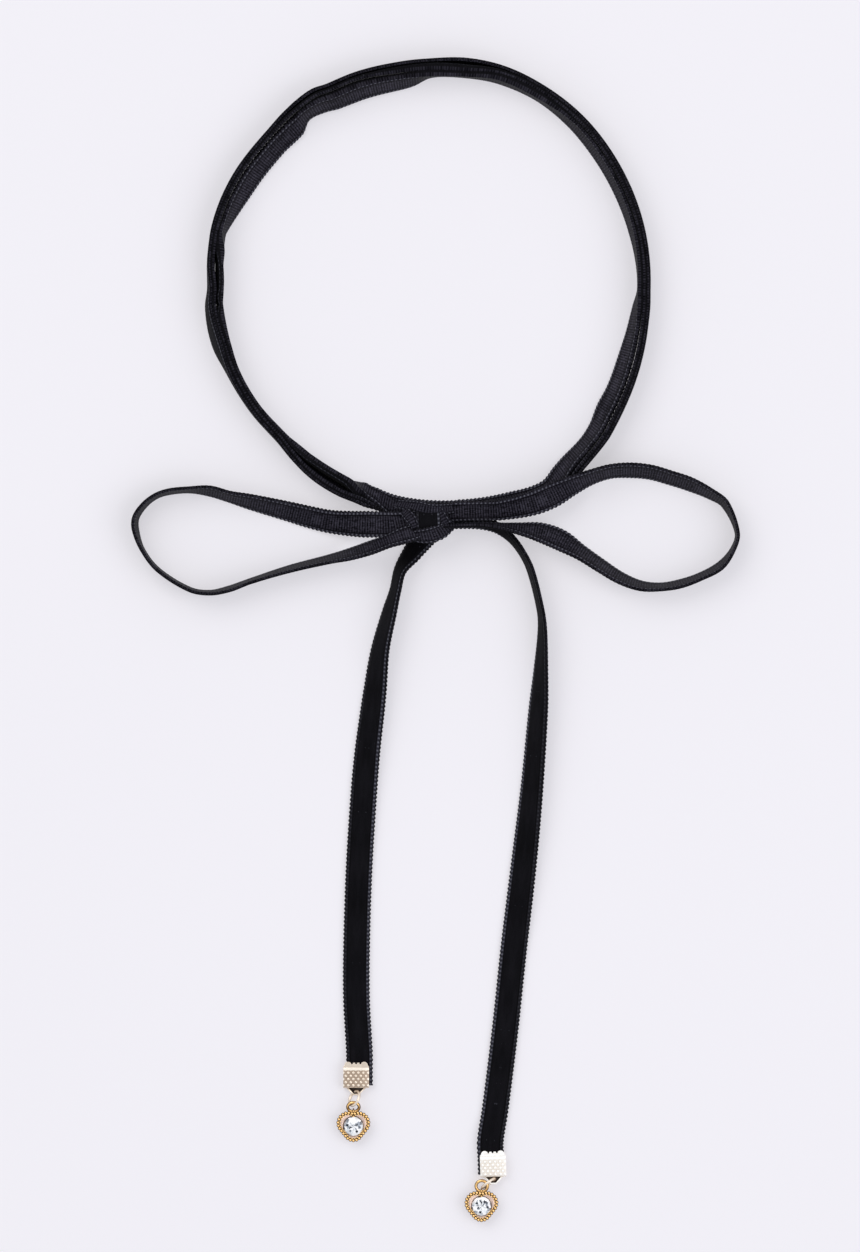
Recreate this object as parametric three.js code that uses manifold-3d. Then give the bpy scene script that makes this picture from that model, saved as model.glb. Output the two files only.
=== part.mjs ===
// Velvet ribbon choker, three turns round the neck, tied in a bow, with a heart charm on each free end.
// It lies on the floor as it was laid down. Millimetres, +Z up, origin on the floor under the middle.

import * as THREE from 'three';
import { ConvexGeometry } from 'three/addons/geometries/ConvexGeometry.js';
import { mergeVertices } from 'three/addons/utils/BufferGeometryUtils.js';
import Module from 'manifold-3d';

const wasm = await Module();
wasm.setup();

// Ribbon
const RIBBON_WIDTH = 7;
const RIBBON_WALL = 1;
const RIBBON_STEP = 3.6;
const LAYER_GAP = 0.12;
const PIECE_GAP = 0.3;

// Neck loop: radius of the circle that the wrapped turns keep to, and the angles in degrees
const NECK_RADIUS = 58;
const NECK_TURNS = 3;
const NECK_START = 263;
const NECK_SPAN = 346;
const NECK_STEP = 5;

// Bow and free ends, measured from the middle of the knot
const KNOT_SIDE = -0.8;
const KNOT_DROP = 4.64;
const KNOT_LENGTH = 13.4;
const KNOT_DEPTH = 10.3;
const KNOT_HEIGHT = 10;
const LOOP_LEFT = 80;
const LOOP_RIGHT = 84;
const TAIL_LEFT = 146.2;
const TAIL_RIGHT = 170.2;

// Ribbon crimp: a folded plate, toothed at the open edge, with a tab at the fold
const CRIMP_WIDTH = 6.95;
const CRIMP_LENGTH = 7.1;
const CRIMP_HEIGHT = 2.4;
const CRIMP_PLATE = 0.45;
const TAB_DROP = 2.1;
const TAB_THICKNESS = 0.6;
const TAB_BAR = 0.7;
const DOT_RADIUS = 0.38;
const DOT_HEIGHT = 0.15;

// Wire rings
const RING_RADIUS = 2.05;
const RING_WIRE = 0.28;
const BAIL_RADIUS = 1.55;
const BAIL_WIRE = 0.3;
const LUG_RADIUS = 0.7;
const LUG_WIRE = 0.22;
const LUG_RISE = 1;

// Heart setting and stone
const LOBE_SIDE = 1.35;
const LOBE_RISE = 0.85;
const LOBE_RADIUS = 2.7;
const TIP_DROP = 1.75;
const TIP_RADIUS = 1.95;
const HEART_RIM = 0.15;
const HEART_HEIGHT = 2.9;
const HEART_FLOOR = 0.55;
const HEART_SIDES = 40;
const BEAD_RADIUS = 0.38;
const BEAD_COUNT = 30;
const LUG_REACH = 3.9;
const STONE_RADIUS = 2.62;
const STONE_GIRDLE = 2.6;
const STONE_GAP = 0.14;

const VELVET = { color: 0x0b0a0d, roughness: 0.95, metalness: 0 };
const PALE_GOLD = { color: 0xe6d3a8, roughness: 0.25, metalness: 1 };
const WARM_GOLD = { color: 0xc98f3c, roughness: 0.3, metalness: 1 };
const CRYSTAL = { color: 0xe8f1f2, roughness: 0.02, metalness: 0 };

const radians = THREE.MathUtils.degToRad;

/** Rows with named columns. */
function table(columns, rows) {
  return rows.map((row) => Object.fromEntries(columns.map((name, i) => [name, row[i]])));
}

// The three turns of the neck loop, clockwise from the knot's left side. at: angle. reach: how far the
// outer turn passes NECK_RADIUS, share of the ribbon's width. outer, middle, inner: how far each turn's
// upper edge leans outward, degrees. part, slack: room between the turns, shares of the wall.
// stack: 0 where the turns stand side by side, 1 where they lie on each other. gather: share of the width.
const NECK_FORM = table(
  ['at', 'reach', 'outer', 'middle', 'inner', 'part', 'slack', 'stack', 'gather'],
  [
    [263, 0.68, 84, 84, 84, 0, 0, 1, 0.78],
    [259, 0.76, 74, 74, 74, 0, 0, 1, 0.88],
    [256, 0.59, 50, 50, 50, 0, 0, 1, 1],
    [252, 0.53, 12, 15, 24, 0, 0, 0.6, 1],
    [247, 0.54, 6, 10, -9, 0, 0, 0, 1],
    [238, 0.44, 5, 7, -8, 0.2, 0.2, 0, 1],
    [231, 0.27, 3, 2, -4, 0, 0.6, 0, 1],
    [225, 0.13, -1, -1, -2, 0, 0, 0, 1],
    [215, 0.18, -1, -1, -1, 0, 0, 0, 1],
    [203, 0.29, -5, -4, -1, 0, 0, 0, 1],
    [195, 0.48, -17, -15, -2, 0, 0, 0, 1],
    [185, 0.49, -10, -10, -9, 0, 0.8, 0, 1],
    [180, 0.37, -6, -5, -12, 0, 0, 0, 1],
    [171, 0.43, 0, 1, -14, 0, 0, 0, 1],
    [165, 0.5, 1, 2, 11, 0, 0, 0, 1],
    [157, 0.52, 0, 0, 29, 0, 0, 0, 1],
    [150, 0.51, 0, 0, 37, 0, 0, 0, 1],
    [137, 0.47, 0, 0, 38, 0, 0, 0, 1],
    [130, 0.565, 3, 1, 37, 0, 0, 0, 1],
    [126, 0.63, 10, 6, 22, 0, 0, 0, 1],
    [121, 0.66, 10, 6, 24, 0, 0.4, 0, 1],
    [117, 0.55, 5, 2, 23, 0, 0.9, 0, 1],
    [110, 0.535, 5, 2, 25, 0, 0.9, 0, 1],
    [100, 0.51, 5, 0, 20, 0.4, 0.5, 0, 1],
    [90, 0.56, 5, 0, 1, 0.6, 0.5, 0, 1],
    [81, 0.69, 10, 0, 1, 0.5, 0.4, 0, 1],
    [72, 0.72, 3, 0, 7, 0, 0.7, 0, 1],
    [60, 0.64, 0, 0, 5, 0, 0.8, 0, 1],
    [48, 0.56, 2, 2, 15, 0, 0, 0, 1],
    [35, 0.42, 0, 2, 16, 0, 0, 0, 1],
    [18, 0.285, 0, 1, 12, 0, 0, 0, 1],
    [0, 0.18, 0, 0, 1, 0, 0.2, 0, 1],
    [-10, 0.22, 0, 0, 18, 0, 0, 0, 1],
    [-20, 0.33, 0, 0, 27, 0, 0, 0, 1],
    [-30, 0.48, 0, 1, 27, 0, 0, 0, 1],
    [-40, 0.71, 0, 2, 19, 0, 0, 0, 1],
    [-45, 0.8, 7, 7, 18, 0, 0, 0.1, 1],
    [-50, 0.91, 20, 20, 24, 0, 0, 0.5, 1],
    [-55, 1.14, 42, 42, 42, 0, 0, 0.9, 1],
    [-60, 1.36, 68, 68, 68, 0, 0, 1, 0.95],
    [-70, 1.02, 76, 76, 76, 0, 0, 1, 0.8],
    [-83, 0.62, 84, 84, 84, 0, 0, 1, 0.62],
  ],
);

// Bow and free ends. along, across: shares of the loop's or the end's length, across to the top of the bow
// or to the right. lean: degrees from upright. gather: share of the ribbon's width. lift: height of the
// lower edge over the floor, share of the ribbon's width.
const STRAND = ['along', 'across', 'lean', 'gather', 'lift'];
const LOOP_LEFT_FORM = table(STRAND, [
  [0.0875, -0.006, 76, 0.8, 0.8],
  [0.128, -0.014, 80, 0.95, 0.84],
  [0.196, -0.015, 80, 1, 0.68],
  [0.264, -0.012, 66, 1, 0.32],
  [0.331, -0.005, 56, 1, 0.08],
  [0.399, 0.01, 51, 1, 0],
  [0.466, 0.028, 44, 1, 0],
  [0.601, 0.062, 31, 1, 0],
  [0.669, 0.079, 21, 1, 0],
  [0.736, 0.098, 19, 1, 0],
  [0.804, 0.102, 9, 1, 0],
  [0.872, 0.091, 8, 1, 0],
  [0.92, 0.084, 7, 1, 0],
  [0.957, 0.053, 8, 1, 0],
  [0.986, 0.008, 9, 1, 0],
  [0.987, -0.034, 9, 1, 0],
  [0.963, -0.101, 3.5, 1, 0],
  [0.91, -0.169, 4, 1, 0],
  [0.804, -0.235, 5, 1, 0],
  [0.736, -0.246, 6, 1, 0],
  [0.669, -0.233, 9, 1, 0],
  [0.601, -0.208, 7.5, 1, 0],
  [0.466, -0.166, 12, 1, 0],
  [0.331, -0.133, 16.5, 1, 0.02],
  [0.264, -0.117, 23.5, 1, 0.25],
  [0.196, -0.096, 28, 1, 0.6],
  [0.128, -0.071, 31, 0.9, 0.98],
  [0.0875, -0.055, 40, 0.7, 1.02],
]);
const LOOP_RIGHT_FORM = table(STRAND, [
  [0.0833, 0.026, 80, 0.7, 0.62],
  [0.167, 0.029, 72, 0.75, 0.68],
  [0.2315, 0.032, 60, 0.85, 0.78],
  [0.328, 0.0515, 62, 1, 0.84],
  [0.392, 0.0756, 66, 1, 0.84],
  [0.4566, 0.1085, 46, 1, 0.74],
  [0.521, 0.1367, 31, 1, 0.45],
  [0.585, 0.156, 28, 1, 0.2],
  [0.6495, 0.16, 30, 1, 0.05],
  [0.714, 0.154, 29, 1, 0],
  [0.778, 0.136, 28, 1, 0],
  [0.842, 0.115, 27, 1, 0],
  [0.907, 0.0844, 19, 1, 0],
  [0.955, 0.051, 13, 1, 0],
  [0.9936, -0.042, 3.5, 1, 0],
  [0.979, -0.0965, 6, 1, 0],
  [0.939, -0.148, 14, 1, 0],
  [0.8746, -0.183, 13, 1, 0],
  [0.81, -0.206, 15, 1, 0],
  [0.746, -0.216, 14, 1, 0],
  [0.6817, -0.212, 19, 1, 0],
  [0.617, -0.187, 24, 1, 0],
  [0.553, -0.147, 28, 1, 0],
  [0.489, -0.1045, 33, 1, 0.05],
  [0.424, -0.065, 50, 1, 0.25],
  [0.36, -0.041, 44, 1, 0.5],
  [0.296, -0.03, 29, 0.85, 0.72],
  [0.2315, -0.022, 15, 0.7, 0.85],
  [0.167, -0.016, 8, 0.6, 0.9],
  [0.0833, -0.019, 5, 0.55, 0.9],
]);
const TAIL_LEFT_FORM = table(STRAND, [
  [0.0375, -0.0145, 42, 0.6, 0],
  [0.06, -0.0305, 38, 0.65, 0],
  [0.0923, -0.0517, 22, 0.8, 0],
  [0.1293, -0.0605, 24, 0.9, 0],
  [0.1662, -0.0705, 29, 1, 0],
  [0.24, -0.0886, 40, 1, 0],
  [0.314, -0.0979, 56, 1, 0],
  [0.351, -0.1025, 62, 1, 0],
  [0.425, -0.1117, 70, 1, 0],
  [0.499, -0.1182, 80, 1, 0],
  [0.646, -0.1274, 88, 1, 0],
  [0.794, -0.132, 88, 1, 0],
  [0.886, -0.132, 88, 1, 0],
]);
const TAIL_RIGHT_FORM = table(STRAND, [
  [0.0055, 0.0411, 88, 0.4, 0.3],
  [0.0063, 0.0825, 80, 0.4, 0.3],
  [0.0125, 0.1095, 55, 0.45, 0.28],
  [0.0285, 0.1305, 25, 0.55, 0.15],
  [0.05, 0.1475, 14, 0.75, 0.04],
  [0.0793, 0.1621, 11, 1, 0],
  [0.1428, 0.178, 11, 1, 0],
  [0.1745, 0.1809, 15, 1, 0],
  [0.238, 0.1785, 28, 1, 0],
  [0.3015, 0.1745, 42, 1, 0],
  [0.4284, 0.1642, 54, 1, 0],
  [0.5554, 0.1507, 72, 1, 0],
  [0.6823, 0.1357, 88, 1, 0],
  [0.8093, 0.1222, 88, 1, 0],
  [0.9362, 0.1063, 88, 1, 0],
]);

// Sections of the knot along its length: along is a share of the length, swell of the full section
const KNOT_FORM = table(
  ['along', 'swell'],
  [
    [-0.5, 0.78],
    [-0.3, 0.9],
    [-0.26, 0.88],
    [-0.25, 1],
    [0.25, 1],
    [0.26, 0.88],
    [0.4, 0.88],
    [0.5, 0.75],
  ],
);

/** A column's value between the rows, on a smooth curve through them. */
function smooth(rows, column, place, key) {
  const last = rows.length - 1;
  const rising = Math.sign(rows[last][key] - rows[0][key]);
  let i = 0;
  while (i < last - 1 && (place - rows[i + 1][key]) * rising > 0) i += 1;
  const slope = (k) => {
    const before = rows[Math.max(k - 1, 0)];
    const after = rows[Math.min(k + 1, last)];
    return (after[column] - before[column]) / (after[key] - before[key]);
  };
  const span = rows[i + 1][key] - rows[i][key];
  const u = (place - rows[i][key]) / span;
  const rise = u * u * (3 - 2 * u);
  return (
    rows[i][column] * (1 - rise) +
    rows[i + 1][column] * rise +
    slope(i) * span * u * (1 - u) * (1 - u) -
    slope(i + 1) * span * u * u * (1 - u)
  );
}

/** Solid through rings of points that all have the same count, closed at both ends or run into a loop. */
function loft(rings, closed = false) {
  const sides = rings[0].length;
  const positions = rings.flat().flatMap((point) => [point.x, point.y, point.z]);
  const index = [];
  const bands = closed ? rings.length : rings.length - 1;
  for (let i = 0; i < bands; i += 1) {
    for (let j = 0; j < sides; j += 1) {
      const a = i * sides + j;
      const b = i * sides + ((j + 1) % sides);
      const c = ((i + 1) % rings.length) * sides + j;
      const d = ((i + 1) % rings.length) * sides + ((j + 1) % sides);
      index.push(a, b, d, a, d, c);
    }
  }
  if (!closed) {
    const start = capFaces(rings[0]);
    const end = capFaces(rings.at(-1));
    const offset = (rings.length - 1) * sides;
    start.forEach(([a, b, c]) => index.push(a, c, b));
    end.forEach(([a, b, c]) => index.push(offset + a, offset + b, offset + c));
  }
  return outward(positions, index);
}

/** Triangles that fill a flat ring, turned the way the ring runs. */
function capFaces(ring) {
  const normal = new THREE.Vector3();
  ring.forEach((point, i) => {
    const next = ring[(i + 1) % ring.length];
    normal.add(new THREE.Vector3().crossVectors(point, next));
  });
  normal.normalize();
  const turn = new THREE.Quaternion().setFromUnitVectors(normal, new THREE.Vector3(0, 0, 1));
  const flat = ring.map((point) => point.clone().applyQuaternion(turn));
  return THREE.ShapeUtils.triangulateShape(flat.map((point) => new THREE.Vector2(point.x, point.y)), []);
}

/** Geometry from positions and triangles, turned so that its faces point outward. */
function outward(positions, index) {
  let volume = 0;
  const corner = (k) => new THREE.Vector3().fromArray(positions, index[k] * 3);
  for (let k = 0; k < index.length; k += 3) {
    volume += corner(k).dot(corner(k + 1).cross(corner(k + 2)));
  }
  const faces = [];
  for (let k = 0; k < index.length; k += 3) {
    const [a, b, c] = index.slice(k, k + 3);
    faces.push(...(volume > 0 ? [a, b, c] : [a, c, b]));
  }
  const geometry = new THREE.BufferGeometry();
  geometry.setAttribute('position', new THREE.Float32BufferAttribute(positions, 3));
  geometry.setIndex(faces);
  return geometry;
}

/** Solid for joining and cutting. */
function toSolid(geometry) {
  const plain = geometry.clone();
  plain.deleteAttribute('normal');
  plain.deleteAttribute('uv');
  const welded = mergeVertices(plain, 1e-4);
  const mesh = new wasm.Mesh({
    numProp: 3,
    vertProperties: new Float32Array(welded.getAttribute('position').array),
    triVerts: new Uint32Array(welded.getIndex().array),
  });
  return new wasm.Manifold(mesh);
}

/** Geometry of a joined or cut solid. */
function toGeometry(solid) {
  const mesh = solid.getMesh();
  const geometry = new THREE.BufferGeometry();
  geometry.setAttribute('position', new THREE.BufferAttribute(mesh.vertProperties, 3));
  geometry.setIndex(new THREE.BufferAttribute(mesh.triVerts, 1));
  return geometry;
}

/** Joins geometries into one solid. */
function join(geometries) {
  return geometries.map(toSolid).reduce((whole, solid) => whole.add(solid));
}

/** Named mesh with its own material. */
function piece(name, geometry, finish) {
  geometry.computeVertexNormals();
  const mesh = new THREE.Mesh(geometry, new THREE.MeshStandardMaterial(finish));
  mesh.name = name;
  return mesh;
}

/** Half width and half wall of the ribbon where it is gathered to a share of its width. */
function halves(gather) {
  return [(RIBBON_WIDTH * gather) / 2, (RIBBON_WALL * (1.4 - 0.4 * gather)) / 2];
}

/** Corners of the ribbon's cross-section from its middle, its widthwise vector and its facing vector. */
function section(middle, along, face, gather) {
  const [width, wall] = halves(gather);
  return [
    [-1, -1],
    [-1, 1],
    [1, 1],
    [1, -1],
  ].map(([rim, side]) =>
    middle.clone().addScaledVector(along, rim * width).addScaledVector(face, side * wall),
  );
}

/** Middles and leans of the turns of the neck loop at an angle: each one rests on the one outside it. */
function nest(degrees) {
  const at = (column) => smooth(NECK_FORM, column, degrees, 'at');
  const gather = at('gather');
  const stack = THREE.MathUtils.clamp(at('stack'), 0, 1);
  const [width, wall] = halves(gather);
  const room = [0, Math.max(at('part'), 0), Math.max(at('slack'), 0)];
  const turns = [];
  ['outer', 'middle', 'inner'].forEach((column, i) => {
    const lean = radians(at(column));
    const turn = {
      lean,
      gather,
      lift: 0,
      half: width * Math.cos(lean) + wall * Math.abs(Math.sin(lean)),
    };
    if (i === 0) {
      turn.z = turn.half;
      turn.r = NECK_RADIUS + at('reach') * RIBBON_WIDTH;
      turn.r -= width * Math.abs(Math.sin(lean)) + wall * Math.cos(lean);
    } else {
      const next = turns[i - 1];
      const pitch = 2 * wall + LAYER_GAP;
      turn.lift = next.lift + stack * pitch * Math.abs(Math.sin(next.lean));
      turn.z = turn.lift + turn.half;
      const edge = lean > next.lean ? width : -width;
      const cornerR = edge * Math.sin(lean) + wall * Math.cos(lean);
      const cornerZ = edge * Math.cos(lean) - wall * Math.sin(lean);
      const away = wall + LAYER_GAP + room[i] * RIBBON_WALL;
      const faceR = next.r - away * Math.cos(next.lean);
      const faceZ = next.z + away * Math.sin(next.lean);
      const run = (turn.z + cornerZ - faceZ) / Math.cos(next.lean);
      turn.r = faceR + run * Math.sin(next.lean) - cornerR;
    }
    turns.push(turn);
  });
  return turns;
}

/** Cross-section of the neck ribbon at an angle, in a layer from 0 outermost, also between two layers. */
function neckSection(degrees, layer) {
  const turns = nest(degrees);
  const low = Math.min(Math.floor(layer), NECK_TURNS - 1);
  const high = Math.min(low + 1, NECK_TURNS - 1);
  const blend = (name) => THREE.MathUtils.lerp(turns[low][name], turns[high][name], layer - low);
  const out = new THREE.Vector3(Math.cos(radians(degrees)), Math.sin(radians(degrees)), 0);
  const up = new THREE.Vector3(0, 0, 1);
  const lean = blend('lean');
  const middle = out.clone().multiplyScalar(blend('r')).addScaledVector(up, blend('z'));
  const along = out.clone().multiplyScalar(Math.sin(lean)).addScaledVector(up, Math.cos(lean));
  const face = out.clone().multiplyScalar(Math.cos(lean)).addScaledVector(up, -Math.sin(lean));
  return section(middle, along, face, blend('gather'));
}

/** The neck ribbon: three turns in one length, one layer higher at each pass behind the knot. */
function neckWrap() {
  const rings = [];
  const steps = Math.round(NECK_SPAN / NECK_STEP);
  const passes = Math.round((360 - NECK_SPAN) / NECK_STEP);
  for (let turn = 0; turn < NECK_TURNS; turn += 1) {
    for (let i = 0; i <= steps; i += 1) {
      rings.push(neckSection(NECK_START - (NECK_SPAN * i) / steps, turn));
    }
    if (turn < NECK_TURNS - 1) {
      for (let i = 1; i < passes; i += 1) {
        rings.push(passSection(i / passes, turn));
      }
    }
  }
  return loft(rings);
}

/** Cross-section behind the knot, a share of the way from one turn's end to the next turn's start. */
function passSection(share, turn) {
  const last = neckSection(NECK_START - NECK_SPAN, turn);
  const first = neckSection(NECK_START, turn + 1);
  const back = -radians(NECK_START - NECK_SPAN);
  const ahead = -radians(NECK_START);
  const degrees = NECK_START - NECK_SPAN - (360 - NECK_SPAN) * share;
  const up = new THREE.Vector3(0, 0, 1);
  return last.map((corner, i) => {
    const from = corner.clone().applyAxisAngle(up, back);
    const to = first[i].clone().applyAxisAngle(up, ahead);
    return from.lerp(to, share).applyAxisAngle(up, radians(degrees));
  });
}

/** Rows of a strand in the plan: its frame starts at the knot, along one way and across another. */
function lay(form, size, along, across) {
  const knot = new THREE.Vector2(KNOT_SIDE, -NECK_RADIUS - KNOT_DROP);
  return form.map((row) => {
    const point = knot.clone();
    point.addScaledVector(along, row.along * size).addScaledVector(across, row.across * size);
    return { ...row, x: point.x, y: point.y, lift: row.lift * RIBBON_WIDTH };
  });
}

/**
 * A free strand of ribbon through its rows. side is 1 where the upper edge leans to the left of the way
 * it runs, -1 to the right. cuts holds the plan directions in which its two ends are cut.
 */
function strand(rows, side, cuts) {
  let run = 0;
  const path = rows.map((row, i) => {
    run += i ? Math.hypot(row.x - rows[i - 1].x, row.y - rows[i - 1].y) : 0;
    return { ...row, run };
  });
  const steps = Math.ceil(run / RIBBON_STEP);
  const up = new THREE.Vector3(0, 0, 1);
  const rings = [];
  for (let i = 0; i <= steps; i += 1) {
    const place = (run * i) / steps;
    const at = (column) => smooth(path, column, place, 'run');
    const slope = (column) =>
      smooth(path, column, Math.min(place + 0.1, run), 'run') -
      smooth(path, column, Math.max(place - 0.1, 0), 'run');
    const out = new THREE.Vector3(-slope('y'), slope('x'), 0).normalize().multiplyScalar(side);
    const cut = i === 0 ? cuts[0] : i === steps ? cuts[1] : out;
    const across = cut.clone().divideScalar(cut.dot(out));
    const lean = radians(at('lean'));
    const gather = at('gather');
    const [width, wall] = halves(gather);
    const half = width * Math.cos(lean) + wall * Math.sin(lean);
    const middle = new THREE.Vector3(at('x'), at('y'), Math.max(at('lift'), 0) + half);
    const along = across.clone().multiplyScalar(Math.sin(lean)).addScaledVector(up, Math.cos(lean));
    const face = across.clone().multiplyScalar(Math.cos(lean)).addScaledVector(up, -Math.sin(lean));
    rings.push(section(middle, along, face, gather));
  }
  return loft(rings);
}

/** The knot: wound over the neck ribbon, down to the floor in front of it, with a band round its middle. */
function knot() {
  const stack = [...nest(NECK_START), ...nest(NECK_START - NECK_SPAN)];
  const reach = Math.max(...stack.map((turn) => turn.r + (RIBBON_WIDTH * turn.gather) / 2));
  const seat = Math.max(...stack.map((turn) => turn.z + turn.half)) + PIECE_GAP;
  const skirt = NECK_RADIUS + KNOT_DROP - reach - PIECE_GAP;
  const half = KNOT_DEPTH / 2;
  const crown = KNOT_HEIGHT - seat;
  const outline = [
    [-0.55 * half, 0],
    [-0.93 * half, 0.12 * seat],
    [-half, 0.6 * seat],
    [-0.97 * half, seat + 0.3 * crown],
    [-0.72 * half, seat + 0.8 * crown],
    [-0.25 * half, KNOT_HEIGHT],
    [0.3 * half, KNOT_HEIGHT],
    [0.75 * half, seat + 0.8 * crown],
    [0.97 * half, seat + 0.42 * crown],
    [0.9 * half, seat],
  ];
  const rings = KNOT_FORM.map(({ along, swell }) => {
    const skin = outline.map(([y, z]) => [y * swell, z > seat ? seat + (z - seat) * swell : z]);
    return [...skin, [skirt, seat], [skirt, 0]].map(
      ([y, z]) => new THREE.Vector3(along * KNOT_LENGTH, y, z),
    );
  });
  const solid = loft(rings);
  solid.translate(KNOT_SIDE, -NECK_RADIUS - KNOT_DROP, 0);
  return solid;
}

/** Round wire ring: centre, radius, wire radius, and two directions that span its plane. */
function wireRing(centre, radius, wire, first, second, turns, sides) {
  const axis = new THREE.Vector3().crossVectors(first, second).normalize();
  const rings = [];
  for (let i = 0; i < turns; i += 1) {
    const turn = (2 * Math.PI * i) / turns;
    const out = first.clone().multiplyScalar(Math.cos(turn));
    out.addScaledVector(second, Math.sin(turn));
    const ring = [];
    for (let j = 0; j < sides; j += 1) {
      const angle = (2 * Math.PI * j) / sides;
      const point = centre.clone().addScaledVector(out, radius + wire * Math.cos(angle));
      ring.push(point.addScaledVector(axis, wire * Math.sin(angle)));
    }
    rings.push(ring);
  }
  return loft(rings, true);
}

/** Plate with a plan outline, between two heights. */
function plate(points, bottom, top, holes = []) {
  const shape = new THREE.Shape(points.map(([x, y]) => new THREE.Vector2(x, y)));
  shape.holes = holes.map((hole) => new THREE.Path(hole.map(([x, y]) => new THREE.Vector2(x, y))));
  const solid = new THREE.ExtrudeGeometry(shape, { depth: top - bottom, bevelEnabled: false });
  solid.translate(0, 0, bottom);
  return solid;
}

/** Disc or cone standing on a height. */
function disc(x, y, bottom, height, radius, top, sides) {
  const solid = new THREE.CylinderGeometry(top, radius, height, sides);
  solid.rotateX(Math.PI / 2);
  solid.translate(x, y, bottom + height / 2);
  return solid;
}

/** Ribbon crimp. Its own frame: x across, y = 0 at the open edge and the fold at -CRIMP_LENGTH. */
function crimp() {
  const half = CRIMP_WIDTH / 2;
  const fold = -CRIMP_LENGTH;
  const inside = CRIMP_HEIGHT - CRIMP_PLATE;
  const lip = -1.5;
  const profile = [
    [0, 0],
    [fold + CRIMP_PLATE, 0],
    [fold, CRIMP_PLATE],
    [fold, inside],
    [fold + CRIMP_PLATE, CRIMP_HEIGHT],
    [lip - 0.3, CRIMP_HEIGHT],
    [lip, CRIMP_HEIGHT - 0.12],
    [0, CRIMP_HEIGHT - 0.05],
    [0, inside - 0.05],
    [fold + CRIMP_PLATE, inside - 0.05],
    [fold + CRIMP_PLATE, CRIMP_PLATE],
    [0, CRIMP_PLATE],
  ];
  const folded = loft(
    [-half, half].map((x) => profile.map(([y, z]) => new THREE.Vector3(x, y, z))),
  );

  // Toothed edge: two rounded corners with small teeth between them
  const bump = 0.95;
  const corner = half - bump - 0.35;
  const body = [
    [-half, fold - 1],
    [half, fold - 1],
    [half, -1.6],
    [half - 0.25, -bump],
    [0.25 - half, -bump],
    [-half, -1.6],
  ];
  const teeth = [
    [-corner, -1],
    [corner, -1],
    [corner, -0.25],
    [-corner, -0.25],
  ];
  const tall = CRIMP_HEIGHT + 2;
  let outline = toSolid(plate(body, -1, tall)).add(toSolid(plate(teeth, -1, tall)));
  for (const side of [-1, 1]) {
    outline = outline.add(toSolid(disc(side * corner, -bump, -1, tall + 1, bump, bump, 16)));
  }
  for (const x of [-1.15, 0, 1.15]) {
    outline = outline.subtract(toSolid(disc(x, -0.4, -2, tall + 3, 0.27, 0.27, 10)));
    const slot = [
      [x - 0.27, -0.4],
      [x + 0.27, -0.4],
      [x + 0.27, 1],
      [x - 0.27, 1],
    ];
    outline = outline.subtract(toSolid(plate(slot, -2, tall + 1)));
  }
  let solid = toSolid(folded).intersect(outline);

  // Raised dots in staggered rows over the fold
  for (let row = 0; row < 4; row += 1) {
    const y = fold + 0.75 + row * 0.95;
    const shift = row % 2 ? 0 : 0.81;
    for (let x = -2.43 + shift; x < half - DOT_RADIUS; x += 1.62) {
      const dot = disc(x, y, CRIMP_HEIGHT - 0.1, DOT_HEIGHT + 0.1, DOT_RADIUS, 0.2, 6);
      solid = solid.add(toSolid(dot));
    }
  }

  // Tab: a bent frame that narrows to the bar, over a short tongue of the lower plate
  const end = fold - TAB_DROP;
  const frame = [
    [-2.9, fold + 0.2],
    [-0.8, end],
    [0.8, end],
    [2.9, fold + 0.2],
  ];
  const opening = [
    [-2.1, fold - 0.02],
    [-0.55, end + TAB_BAR],
    [0.55, end + TAB_BAR],
    [2.1, fold - 0.02],
  ];
  const tongue = [
    [-2.1, fold + 0.6],
    [-1.9, fold],
    [-1, fold - 0.85],
    [1, fold - 0.85],
    [1.9, fold],
    [2.1, fold + 0.6],
  ];
  const mid = CRIMP_HEIGHT / 2 + 0.25;
  solid = solid.add(toSolid(plate(frame, mid - TAB_THICKNESS / 2, mid + TAB_THICKNESS / 2, [opening])));
  solid = solid.add(toSolid(plate(tongue, 0, 0.3)));
  return toGeometry(solid);
}

/** Distance of the heart's outline from the stone's middle, in a direction, let out by a margin. */
function heartReach(angle, margin) {
  const ray = new THREE.Vector2(Math.abs(Math.cos(angle)), Math.sin(angle));
  const lobe = new THREE.Vector2(LOBE_SIDE, LOBE_RISE);
  const tip = new THREE.Vector2(0, -TIP_DROP);
  const distances = [
    [lobe, LOBE_RADIUS + margin],
    [tip, TIP_RADIUS + margin],
  ].map(([centre, radius]) => {
    const along = ray.dot(centre);
    const inside = along * along - centre.lengthSq() + radius * radius;
    return inside > 0 ? along + Math.sqrt(inside) : 0;
  });
  const spine = lobe.clone().sub(tip);
  const grow = (TIP_RADIUS - LOBE_RADIUS) / spine.length();
  const side = new THREE.Vector2(spine.y, -spine.x).normalize();
  const normal = side.multiplyScalar(Math.sqrt(1 - grow * grow));
  normal.addScaledVector(spine.clone().normalize(), grow);
  const straight = (normal.dot(lobe) + LOBE_RADIUS + margin) / normal.dot(ray);
  const hit = ray.clone().multiplyScalar(straight);
  const high = lobe.clone().addScaledVector(normal, LOBE_RADIUS + margin);
  const low = tip.clone().addScaledVector(normal, TIP_RADIUS + margin);
  if (straight > 0 && hit.y <= high.y && hit.y >= low.y) {
    distances.push(straight);
  }
  return Math.max(...distances);
}

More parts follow.
